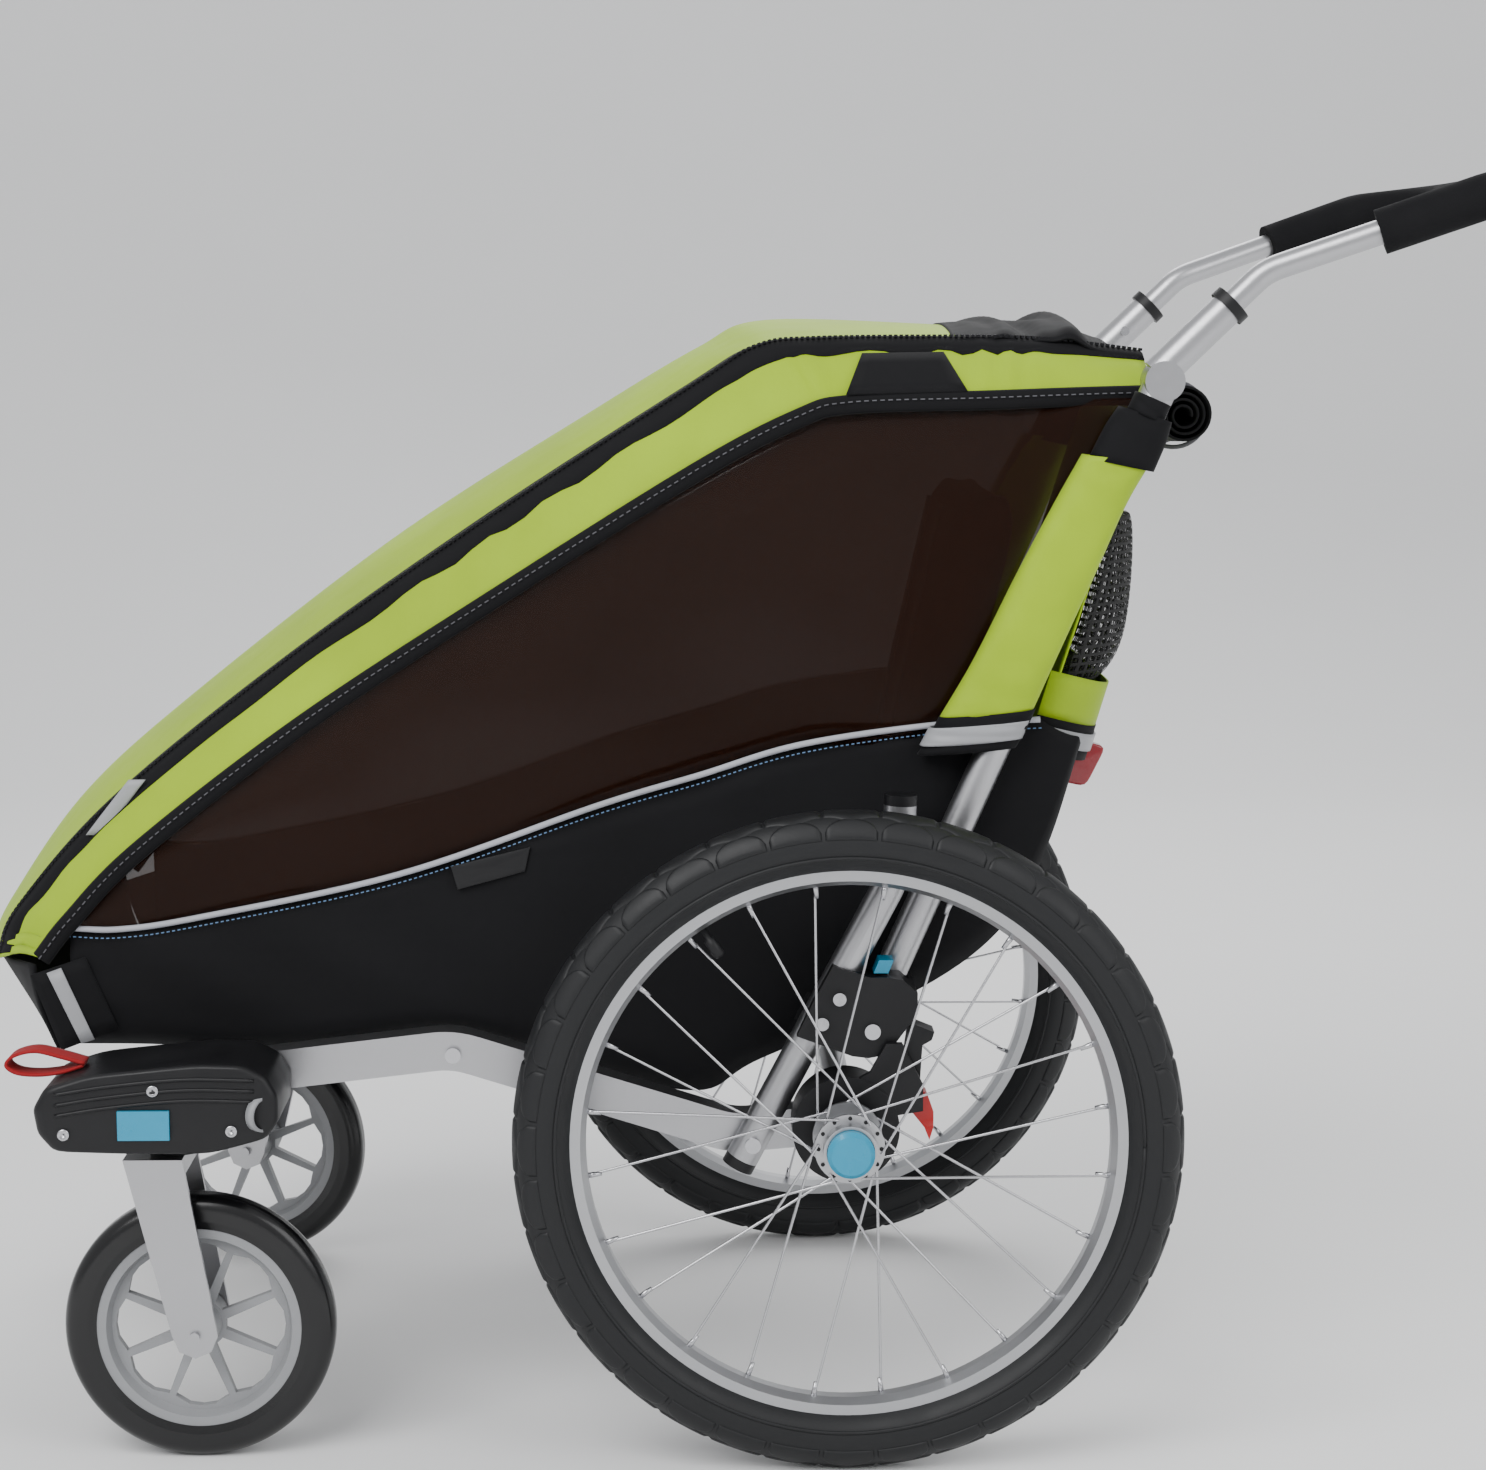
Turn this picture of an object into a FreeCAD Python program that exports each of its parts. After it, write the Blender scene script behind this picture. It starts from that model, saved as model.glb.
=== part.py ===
import FreeCAD, Part
import math
import os
import re
import Sketcher

# Child bicycle trailer in its stroller set-up. Millimetres, +Z up.
# Front of travel is -X and the left side is -Y. Every piece is drawn from the rear axle line
# (x = 0, z = 0 on the axle), and its Placement lifts the axle to half the tyre's diameter and
# moves it back by axle_x, which puts the origin under the middle of the whole trailer.

DOC = FreeCAD.newDocument("child_trailer")
SHEET = DOC.addObject("Spreadsheet::Sheet", "dims")

SIZES = {
    # Rear wheels
    "axle_x": 58.5, "tyre_od": 500.0, "tyre_width": 47.0, "track": 585.0,
    "rim_drop": 37.0, "rim_depth": 18.0, "rim_width": 24.0, "rim_wall": 2.0, "bead_gap": 0.3,
    "hub_flange_r": 26.0, "hub_flange_y": 18.0, "hub_core_r": 13.0, "flange_wall": 3.0,
    "hub_inner": 30.0, "hub_outer": 32.0, "axle_r": 6.0, "axle_reach": 52.0,
    "spoke_r": 1.0, "spoke_gap": 2.6, "hub_cup_r": 17.8, "hub_cup_wall": 2.4, "hub_cup_depth": 12.0,
    "hub_button_r": 17.5, "hub_button_wall": 8.0, "hub_button_proud": 8.0,
    # Chassis
    "carrier_r": 40.5, "carrier_inner": 219.6, "carrier_outer": 258.0, "running_gap": 0.05,
    "arm_y": 207.5, "arm_wide": 24.0, "arm_high": 30.0, "arm_wall": 2.0, "arm_bend": 70.0,
    "arm_front_x": -575.0, "arm_front_z": 22.0, "arm_crest_x": -298.0, "arm_crest_z": 54.0,
    "arm_dip_x": -85.0, "arm_dip_z": -13.0, "arm_tail_x": 26.0, "arm_tail_z": -3.0,
    "front_tube_x": -500.0, "front_tube_z": 30.5, "frame_tube_od": 25.0, "frame_tube_wall": 2.0,
    "axle_tube_od": 22.0,
    "upright_y": 232.0, "foot_x": -78.0, "foot_z": -28.0, "knee_x": 39.0, "knee_z": 194.0,
    "upright_top_x": 41.0, "upright_top_z": 244.0, "upright_bend": 90.0, "cap_long": 8.0,
    # Folding hinge
    "pivot_x": 20.0, "pivot_z": 74.0, "pivot_bolt_r": 4.0, "bracket_inner": 188.0,
    "bracket_outer": 249.0, "slot_gap": 0.6, "bar_tail": 8.0,
    "roll_y": 204.0, "roll_long": 532.0, "roll_angle": 65.9, "elbow_long": 30.0,
    # Handle
    "handle_angle": 44.0, "handle_shift": 6.0, "sleeve_od": 26.0, "sleeve_gap": 0.2,
    "sleeve_low": 17.0, "sleeve_high": 70.0, "collar_long": 8.0, "collar_od": 31.0,
    "handle_od": 19.0, "handle_wall": 1.8, "handle_y": 204.0, "handle_low": 22.0, "handle_bend": 111.0,
    "handle_knee_x": 474.0, "handle_knee_z": 697.0, "handle_end_x": 545.0, "handle_end_z": 705.0,
    "handle_wide": 235.0, "grip_od": 34.0, "grip_start_x": 394.0, "grip_gap": 14.0,
    "snap_at": 44.0, "snap_r": 4.0,
    # Roof hoop
    "hoop_od": 16.0, "hoop_y": 152.0, "hoop_front_x": -38.0, "hoop_front_z": 548.0, "hoop_bend": 60.0,
    "hoop_pin_r": 5.0,
    # Corner housings and casters
    "housing_inner": 219.6, "housing_outer": 305.0, "swivel_x": -502.5, "swivel_y": 256.0,
    "caster_od": 204.0, "caster_width": 28.0, "caster_rim_r": 77.0, "caster_rim_wall": 10.0,
    "caster_hub_r": 16.0, "caster_trail": 14.5, "caster_turn": 171.0, "fork_gap": 28.5,
    "blade_wall": 4.0, "blade_top": 44.0, "blade_end_r": 17.0, "blade_lead": 36.0, "crown_wall": 11.0,
    "stem_r": 8.0, "stem_high": 52.0, "stem_base_z": -4.6, "stem_flange_r": 21.0,
    "stem_flange": 7.4, "spigot_r": 5.0, "caster_axle_r": 4.0, "caster_web": 7.0,
    # Cabin
    "tub_half": 188.0, "cloth": 5.0, "trim_y": 195.0, "zip_y": 150.0, "window_y": 189.6,
    "window_wall": 1.4, "seat_half": 140.0, "strap_wide": 28.0,
    # Small pieces
    "bolt_head_r": 6.0, "bolt_head": 4.0, "pedal_x": 48.0, "pedal_z": 24.0,
    "strap_loop_wide": 20.0, "strap_loop_y": 262.0, "pedal_y": 235.0, "pedal_wide": 22.0,
    "socket_r": 11.0, "socket_deep": 70.0, "socket_x": -468.0, "socket_z": 26.0, "socket_back": 30.0,
    "key_long": 38.0, "key_high": 22.0, "key_gap": 0.4, "key_x": -519.0, "key_z": 19.0,
}

# Side outlines of the fabric, as x, z from the rear axle. Each point is one corner of the cut.
OUTLINES = {
    "trim": [(-613, 121), (-590, 150), (-536, 205), (-412, 300), (-260, 399), (-109, 493),
             (-30, 535), (100, 545), (207, 550)],
    "seam": [(-655, 112), (-638, 150), (-560, 235), (-417, 349), (-262, 456), (-108, 555),
             (-50, 585), (100, 588), (203, 586)],
    "crown": [(-684, 104), (-668, 140), (-610, 222), (-518, 304), (-352, 431), (-189, 534),
              (-59, 603), (60, 601), (190, 590)],
    "belt": [(-587, 144), (-553, 143), (-492, 152), (-339, 185), (-186, 238), (-109, 261),
             (-33, 284), (70, 299)],
    "keel": [(-596, 112), (-596, 57), (-586, 52), (-430, 49), (-310, 63), (-249, 50), (-187, 30),
             (-110, 12), (-94, 19), (-63, 37), (68, 96), (129, 147), (157, 202), (182, 283)],
    "housing": [(-601, 30), (-592, 46), (-560, 56), (-480, 64), (-446, 63), (-429, 54), (-421, 40),
                (-421, 20), (-430, 7), (-471, -4), (-530, -4), (-586, -2), (-598, 12)],
    "bracket": [(-10, 124), (18, 115), (31, 115), (43, 113), (54, 103), (54, 87), (31, 55.5),
                (17, 53), (5, 54.5), (-37, 70), (-25, 96)],
    "strap_outer": [(-566, 54.6), (-572, 60), (-600, 68), (-622, 64), (-628, 56), (-622, 50),
                    (-600, 47.5), (-592, 46.6), (-572, 52.6)],
    "strap_inner": [(-574, 56.2), (-600, 63.6), (-620, 60.6), (-624, 56), (-620, 53), (-600, 51),
                    (-592, 50.4)],
}


def fill_sheet():
    """Write every driving size into the spreadsheet, one aliased cell each."""
    row = 0
    for name, number in SIZES.items():
        row += 1
        SHEET.set("A%d" % row, name)
        SHEET.set("B%d" % row, str(number))
        SHEET.setAlias("B%d" % row, name)
    for name, points in OUTLINES.items():
        for index, (px, pz) in enumerate(points):
            for letter, number in (("x", px), ("z", pz)):
                row += 1
                SHEET.set("A%d" % row, name + "_" + letter + str(index))
                SHEET.set("B%d" % row, str(number))
                SHEET.setAlias("B%d" % row, name + "_" + letter + "_" + str(index))
    DOC.recompute()


def cells(text):
    """Turn the size names in an expression into cells of the sheet."""
    def cell(match):
        word = match.group(0)
        known = word in SIZES or re.match(r"^(%s)_[xz]_\d+$" % "|".join(OUTLINES), word)
        return "dims." + word if known else word
    return re.sub(r"[A-Za-z_]\w*", cell, str(text))


def number(text):
    """The value of an expression of size names."""
    return float(SHEET.evalExpression(cells(text)))


def points_of(name, first=0, last=None):
    """Expression pairs for the points of one side outline."""
    count = len(OUTLINES[name])
    chosen = range(count)[first:last]
    return [("%s_x_%d" % (name, i), "%s_z_%d" % (name, i)) for i in chosen]


def place(item, along="0", across="0", up="0"):
    """Bind an item's Placement to the axle, plus an offset of its own."""
    item.setExpression("Placement.Base.x", cells("axle_x + %s" % along))
    item.setExpression("Placement.Base.y", cells(across))
    item.setExpression("Placement.Base.z", cells("tyre_od / 2 + %s" % up))
    return item


def turn(item, axis, angle):
    """Bind an item's rotation about one axis."""
    item.Placement = FreeCAD.Placement(item.Placement.Base, FreeCAD.Rotation(axis, 10))
    item.setExpression("Placement.Rotation.Angle", cells(angle))
    return item


# ---------------------------------------------------------------- sketches and features

def new_body(label):
    """An empty body whose Label names its file."""
    body = DOC.addObject("PartDesign::Body", label)
    body.Label = label
    return body


def new_sketch(body, role):
    """A sketch on one of the body's own origin planes."""
    sketch = body.newObject("Sketcher::SketchObject", body.Name + "_sketch")
    plane = [item for item in body.Origin.OriginFeatures if item.Role == role][0]
    sketch.AttachmentSupport = [(plane, "")]
    sketch.MapMode = "FlatFace"
    return sketch


def pin_point(sketch, geometry, end, across, up):
    """Fix one point of the sketch to a pair of expressions."""
    for kind, axis, text in (("DistanceX", -2, across), ("DistanceY", -1, up)):
        if abs(number(text)) < 1e-9:
            sketch.addConstraint(Sketcher.Constraint("PointOnObject", geometry, end, axis))
            continue
        index = sketch.addConstraint(Sketcher.Constraint(kind, -1, 1, geometry, end, number(text)))
        sketch.setExpression("Constraints[%d]" % index, cells(text))


def arc_between(start, end, radius, side):
    """The shorter arc of one radius between two points, its centre to the left for side = 1."""
    middle = (start + end) * 0.5
    half = (end - start).Length / 2
    left = FreeCAD.Vector(-(end - start).y, (end - start).x, 0).normalize()
    centre = middle + left * side * math.sqrt(max(radius ** 2 - half ** 2, 0))
    crest = centre + (middle - centre).normalize() * radius
    return Part.Arc(start, crest, end)


def add_outline(sketch, points):
    """A closed outline. A point is (x, y), or (x, y, radius, side) where an arc leaves it."""
    base = sketch.GeometryCount
    corners = [FreeCAD.Vector(number(p[0]), number(p[1]), 0) for p in points]
    ends = []
    for index, point in enumerate(points):
        start = corners[index]
        end = corners[(index + 1) % len(points)]
        if len(point) == 2:
            sketch.addGeometry(Part.LineSegment(start, end), False)
            ends.append((1, 2))
            continue
        arc = arc_between(start, end, number(point[2]), point[3])
        sketch.addGeometry(arc, False)
        near = (sketch.getPoint(base + index, 1) - start).Length
        ends.append((1, 2) if near < 1e-6 else (2, 1))
        limit = sketch.addConstraint(Sketcher.Constraint("Radius", base + index, number(point[2])))
        sketch.setExpression("Constraints[%d]" % limit, cells(point[2]))
    for index, point in enumerate(points):
        after = (index + 1) % len(points)
        joint = Sketcher.Constraint("Coincident", base + index, ends[index][1], base + after, ends[after][0])
        sketch.addConstraint(joint)
        pin_point(sketch, base + index, ends[index][0], point[0], point[1])


def add_circle(sketch, across, up, radius):
    """A circle with its centre and radius bound."""
    centre = FreeCAD.Vector(number(across), number(up), 0)
    index = sketch.addGeometry(Part.Circle(centre, FreeCAD.Vector(0, 0, 1), number(radius)), False)
    limit = sketch.addConstraint(Sketcher.Constraint("Radius", index, number(radius)))
    sketch.setExpression("Constraints[%d]" % limit, cells(radius))
    pin_point(sketch, index, 3, across, up)


def extrude(body, role, width, outlines=(), circles=(), cut=False, one_way=False):
    """Pad or pocket a sketch, half each way from its plane unless one_way is set."""
    sketch = new_sketch(body, role)
    for points in outlines:
        add_outline(sketch, points)
    for circle in circles:
        add_circle(sketch, *circle)
    kind = "PartDesign::Pocket" if cut else "PartDesign::Pad"
    feature = body.newObject(kind, body.Name + ("_pocket" if cut else "_pad"))
    feature.Profile = sketch
    feature.Midplane = not one_way
    feature.setExpression("Length", cells(width))
    return feature


def revolve(body, points, cut=False):
    """Turn an outline of (y, radius) points about the body's Y axis."""
    sketch = new_sketch(body, "YZ_Plane")
    add_outline(sketch, points)
    kind = "PartDesign::Groove" if cut else "PartDesign::Revolution"
    feature = body.newObject(kind, body.Name + "_turned")
    feature.Profile = sketch
    feature.ReferenceAxis = (sketch, ["H_Axis"])
    feature.Angle = 360
    return feature


def add_path(sketch, points, radii):
    """Straight runs through the points, with a tangent arc of the given radius at each corner."""
    corners = [FreeCAD.Vector(number(p[0]), number(p[1]), 0) for p in points]
    cuts = [(corners[0], corners[0])]
    for index, radius in enumerate(radii):
        corner = corners[index + 1]
        back = (corners[index] - corner).normalize()
        ahead = (corners[index + 2] - corner).normalize()
        reach = number(radius) / math.tan(back.getAngle(ahead) / 2)
        cuts.append((corner + back * reach, corner + ahead * reach))
    cuts.append((corners[-1], corners[-1]))
    lines = []
    for index in range(len(points) - 1):
        run = Part.LineSegment(cuts[index][1], cuts[index + 1][0])
        lines.append(sketch.addGeometry(run, False))
    for index, radius in enumerate(radii):
        start, end = cuts[index + 1]
        side = 1 if (end - start).cross(corners[index + 1] - start).z < 0 else -1
        arc = sketch.addGeometry(arc_between(start, end, number(radius), side), False)
        first = 1 if (sketch.getPoint(arc, 1) - start).Length < 1e-6 else 2
        sketch.addConstraint(Sketcher.Constraint("Tangent", lines[index], 2, arc, first))
        sketch.addConstraint(Sketcher.Constraint("Tangent", lines[index + 1], 1, arc, 3 - first))
        limit = sketch.addConstraint(Sketcher.Constraint("Radius", arc, number(radius)))
        sketch.setExpression("Constraints[%d]" % limit, cells(radius))
        mark = sketch.addGeometry(Part.Point(corners[index + 1]), True)
        pin_point(sketch, mark, 1, *points[index + 1])
        sketch.addConstraint(Sketcher.Constraint("PointOnObject", mark, 1, lines[index]))
        sketch.addConstraint(Sketcher.Constraint("PointOnObject", mark, 1, lines[index + 1]))
    pin_point(sketch, lines[0], 1, *points[0])
    pin_point(sketch, lines[-1], 2, *points[-1])


def bent_bar(label, points, radii, outlines=(), circles=()):
    """A bar swept along a path in its own XZ plane, its section drawn square to the first run."""
    body = new_body(label)
    spine = new_sketch(body, "XZ_Plane")
    add_path(spine, points, radii)
    DOC.recompute()
    section = body.newObject("Sketcher::SketchObject", label + "_section")
    section.AttachmentSupport = [(spine, "Edge1")]
    section.MapMode = "NormalToEdge"
    section.MapPathParameter = 0.0
    DOC.recompute()
    for shape in outlines:
        add_outline(section, shape)
    for circle in circles:
        add_circle(section, *circle)
    pipe = body.newObject("PartDesign::AdditivePipe", label + "_pipe")
    pipe.Profile = section
    pipe.Spine = spine
    return body


def rectangle(wide, high, across="0", up="0"):
    """Corners of a rectangle about a centre, as expressions."""
    corner = "%s %s (%s) / 2"
    return [(corner % (across, a, wide), corner % (up, b, high))
            for a, b in (("-", "-"), ("+", "-"), ("+", "+"), ("-", "+"))]


def plate(label, points, width, across, holes=()):
    """A flat piece cut to an outline in side view, with round holes, at one distance across."""
    body = new_body(label)
    extrude(body, "XZ_Plane", width, [points], holes)
    return place(body, across=across)


def cylinder(name, radius, height, along, across, up, axis="y", tilt=None):
    """A plain cylinder centred on a point, along Y, along Z, or tilted in side view."""
    item = DOC.addObject("Part::Cylinder", name)
    item.setExpression("Radius", cells(radius))
    item.setExpression("Height", cells(height))
    if axis == "y":
        place(item, along, "%s + (%s) / 2" % (across, height), up)
        item.Placement = FreeCAD.Placement(item.Placement.Base, FreeCAD.Rotation(FreeCAD.Vector(1, 0, 0), 90))
        return item
    place(item, along, across, up)
    if tilt is not None:
        turn(item, FreeCAD.Vector(0, 1, 0), "90 - (%s)" % tilt)
    return item


def group(label, items):
    """Several like pieces kept in one node as separate solids."""
    node = DOC.addObject("Part::Compound", label)
    node.Label = label
    node.Links = items
    return node


def boolean(kind, label, base, tool):
    """One Part boolean with its own Label."""
    node = DOC.addObject(kind, label)
    node.Label = label
    node.Base = base
    node.Tool = tool
    return node


def coded(label, shape):
    """A piece whose shape is worked out in code from the sheet's sizes."""
    node = DOC.addObject("Part::Feature", label)
    node.Label = label
    node.Shape = shape
    return place(node)


def flipped(points, sign):
    """Mirror (y, radius) points to the left side where sign is -1."""
    return [("%d * (%s)" % (sign, p[0]),) + tuple(p[1:2]) + tuple(p[2:]) for p in points]


SIDES = (("left", -1), ("right", 1))
CASTER_SPOKES = 8


# ---------------------------------------------------------------- rear wheels

def tyre(label, sign):
    """Tyre: round casing on two bead walls that sit between the rim's flanges."""
    body = new_body(label)
    casing = "tyre_width / 2"
    seat = "tyre_od / 2 - rim_drop"
    wall = "rim_width / 2 - rim_wall - bead_gap"
    lip = "tyre_od / 2 - rim_drop + 1"
    middle = "tyre_od / 2 - %s" % casing
    lip_y = "sqrt((%s)^2 - (%s - (%s))^2)" % (casing, lip, middle)
    outline = [("-(%s)" % wall, "%s - 9.3" % seat), ("-(%s)" % wall, lip), ("-%s" % lip_y, lip, casing, -1),
               ("0", "tyre_od / 2", casing, -1), (lip_y, lip), (wall, lip), (wall, "%s - 9.3" % seat)]
    revolve(body, outline)
    return place(body, across="%d * track / 2" % sign)


def rim(label, sign):
    """Rim: box section with two flanges."""
    body = new_body(label)
    top = "tyre_od / 2 - rim_drop"
    half = "rim_width / 2"
    channel = "rim_width / 2 - rim_wall"
    outline = [("-%s" % half, top), ("-(%s)" % channel, top), ("-(%s)" % channel, "%s - 9.6" % top),
               (channel, "%s - 9.6" % top), (channel, top), (half, top), (half, "%s - rim_depth + 4" % top),
               ("5", "%s - rim_depth" % top), ("-5", "%s - rim_depth" % top),
               ("-%s" % half, "%s - rim_depth + 4" % top)]
    revolve(body, outline)
    return place(body, across="%d * track / 2" % sign)


def hub(label, sign):
    """Hub: two spoke flanges, a cup for the release button, and a stub axle that plugs in."""
    body = new_body(label)
    cup = "hub_cup_r + hub_cup_wall"
    floor = "hub_outer - hub_cup_depth"
    flange_in = "hub_flange_y - flange_wall / 2"
    flange_out = "hub_flange_y + flange_wall / 2"
    outline = [("-axle_reach", "0"), ("-axle_reach", "axle_r"), ("-hub_inner", "axle_r"),
               ("-hub_inner", "hub_core_r"), ("-(%s)" % flange_out, "hub_core_r"),
               ("-(%s)" % flange_out, "hub_flange_r"), ("-(%s)" % flange_in, "hub_flange_r"),
               ("-(%s)" % flange_in, "hub_core_r"), (flange_in, "hub_core_r"),
               (flange_in, "hub_flange_r"), (flange_out, "hub_flange_r"), (flange_out, cup),
               ("hub_outer", cup), ("hub_outer", "hub_cup_r"), (floor, "hub_cup_r"), (floor, "0")]
    revolve(body, flipped(outline, sign))
    return place(body, across="%d * track / 2" % sign)


def spokes(label, sign):
    """Spokes: twelve to each flange, laced over two others, heads on both faces of the flange."""
    rim_reach = number("tyre_od / 2 - rim_drop - rim_depth + 1")
    hub_reach = number("hub_flange_r - 2.5")
    gap = number("spoke_gap")
    solids = []
    per_flange = 12
    for flange in (-1, 1):
        for index in range(per_flange):
            lean = 1 if index % 2 else -1
            foot = math.radians(index * 360 / per_flange + flange * 7.5)
            head = foot + lean * math.radians(62)
            low = FreeCAD.Vector(hub_reach * math.cos(head), flange * number("hub_flange_y") + lean * gap,
                                 hub_reach * math.sin(head))
            high = FreeCAD.Vector(rim_reach * math.cos(foot), flange * 4, rim_reach * math.sin(foot))
            solids.append(Part.makeCylinder(number("spoke_r"), (high - low).Length, low, high - low))
    node = coded(label, Part.makeCompound(solids))
    return place(node, across="%d * track / 2" % sign)


def hub_button(label, sign):
    """Release button: a domed cap in the hub's cup."""
    body = new_body(label)
    tip = "hub_outer + hub_button_proud"
    base = "%s - hub_button_wall - 3" % tip
    shoulder = "%s - 3" % tip
    outline = [(base, "0"), (base, "hub_button_r"), (shoulder, "hub_button_r"), (tip, "hub_button_r - 3"),
               (tip, "0")]
    revolve(body, flipped(outline, sign))
    return place(body, across="%d * track / 2" % sign)


# ---------------------------------------------------------------- chassis

def hub_carrier(label, sign):
    """Hub carrier: a disc with the axle's bore, and a flat stay that rises to the hinge bracket."""
    body = new_body(label)
    width = "carrier_outer - carrier_inner"
    middle = "%d * (carrier_outer + carrier_inner) / 2" % sign
    extrude(body, "XZ_Plane", width, circles=[("0", "0", "carrier_r")])
    stay = [("-6", "30"), ("34", "10"), ("58", "14"), ("58", "34"), ("42", "66"), ("30", "66"), ("18", "44")]
    sketch = new_sketch(body, "XZ_Plane")
    add_outline(sketch, stay)
    pad = body.newObject("PartDesign::Pad", label + "_stay")
    pad.Profile = sketch
    pad.Midplane = False
    pad.Reversed = sign > 0
    sketch.AttachmentOffset = FreeCAD.Placement(FreeCAD.Vector(0, 0, -sign * 12.4), FreeCAD.Rotation())
    pad.Length = 6.0
    extrude(body, "XZ_Plane", "3 * carrier_outer", circles=[("0", "0", "axle_r + running_gap")], cut=True)
    return place(body, across=middle)


def side_arm(label, sign):
    """Side arm: one bent rectangular tube from the front corner back to the hub carrier."""
    points = [("arm_front_x", "arm_front_z"), ("arm_crest_x", "arm_crest_z"), ("arm_dip_x", "arm_dip_z"),
              ("arm_tail_x", "arm_tail_z")]
    outer = rectangle("arm_wide", "arm_high")
    inner = rectangle("arm_wide - 2 * arm_wall", "arm_high - 2 * arm_wall")
    body = bent_bar(label, points, ["arm_bend", "arm_bend"], [outer, inner])
    return place(body, across="%d * arm_y" % sign)


def cross_tubes(label):
    """Cross tubes: the front one and the rear axle's, from one side arm to the other."""
    tubes = []
    for name, diameter, along, up in (("front_tube", "frame_tube_od", "front_tube_x", "front_tube_z"),
                                      ("axle_tube", "axle_tube_od", "0", "0")):
        body = new_body(name)
        reach = "2 * (arm_y - arm_wide / 2)"
        rings = [("0", "0", "%s / 2" % diameter), ("0", "0", "%s / 2 - frame_tube_wall" % diameter)]
        extrude(body, "XZ_Plane", reach, circles=rings)
        tubes.append(place(body, along, "0", up))
    return group(label, tubes)


def lower_upright(label, sign):
    """Lower upright: a round tube from its foot on the side arm up through the hinge bracket."""
    points = [("foot_x", "foot_z"), ("knee_x", "knee_z"), ("upright_top_x", "upright_top_z")]
    rings = [("0", "0", "frame_tube_od / 2"), ("0", "0", "frame_tube_od / 2 - frame_tube_wall")]
    body = bent_bar(label, points, ["upright_bend"], circles=rings)
    return place(body, across="%d * upright_y" % sign)


UPRIGHT_LEAN = "(atan2(knee_z - foot_z; knee_x - foot_x) / 1 deg)"
TOP_LEAN = "(atan2(upright_top_z - knee_z; upright_top_x - knee_x) / 1 deg)"


def tube_end_caps(label):
    """End caps: a plug on both ends of each lower upright."""
    caps = []
    for side, sign in SIDES:
        across = "%d * upright_y" % sign
        low_x = "foot_x - cap_long * cos(%s)" % UPRIGHT_LEAN
        low_z = "foot_z - cap_long * sin(%s)" % UPRIGHT_LEAN
        caps.append(cylinder("foot_cap_" + side, "frame_tube_od / 2", "cap_long", low_x, across, low_z,
                             "tilted", UPRIGHT_LEAN))
        caps.append(cylinder("top_cap_" + side, "frame_tube_od / 2", "cap_long", "upright_top_x", across,
                             "upright_top_z", "tilted", TOP_LEAN))
    return group(label, caps)


def hinge_bracket(label, sign):
    """Hinge bracket: holds the lower upright in a bore and the roll bar in an open slot."""
    body = new_body(label + "_blank")
    width = "bracket_outer - bracket_inner"
    middle = "%d * (bracket_outer + bracket_inner) / 2" % sign
    extrude(body, "XZ_Plane", width, [points_of("bracket")],
            [("pivot_x", "pivot_z", "pivot_bolt_r + running_gap")])
    place(body, across=middle)
    slot_wide = "frame_tube_od + 2 * slot_gap"
    reach = "frame_tube_od / 2 + slot_gap"
    low_x = "pivot_x + (%s) * sin(roll_angle) - bar_tail * 2.1 * cos(roll_angle)" % reach
    low_z = "pivot_z - (%s) * cos(roll_angle) - bar_tail * 2.1 * sin(roll_angle)" % reach
    high_x = "pivot_x + (%s) * sin(roll_angle) + 90 * cos(roll_angle)" % reach
    high_z = "pivot_z - (%s) * cos(roll_angle) + 90 * sin(roll_angle)" % reach
    slot = [(low_x, low_z), (high_x, high_z), ("-90", high_z), ("-90", "pivot_z - 2.1 * bar_tail"),
            ("pivot_x - frame_tube_od / 2", "pivot_z - 2.1 * bar_tail")]
    groove = new_body(label + "_slot")
    extrude(groove, "XZ_Plane", slot_wide, [slot])
    place(groove, across="%d * roll_y" % sign)
    sweep = cylinder(label + "_sweep", "sqrt(bar_tail ^ 2 + (frame_tube_od / 2) ^ 2) + slot_gap", slot_wide,
                     "pivot_x", "%d * roll_y" % sign, "pivot_z")
    cutter = boolean("Part::Fuse", label + "_clearance", groove, sweep)
    slotted = boolean("Part::Cut", label + "_slotted", body, cutter)
    bore = cylinder(label + "_bore", "frame_tube_od / 2 + running_gap", "400", "foot_x", "%d * upright_y" % sign,
                    "foot_z", "tilted", UPRIGHT_LEAN)
    return boolean("Part::Cut", label, slotted, bore)


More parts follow.
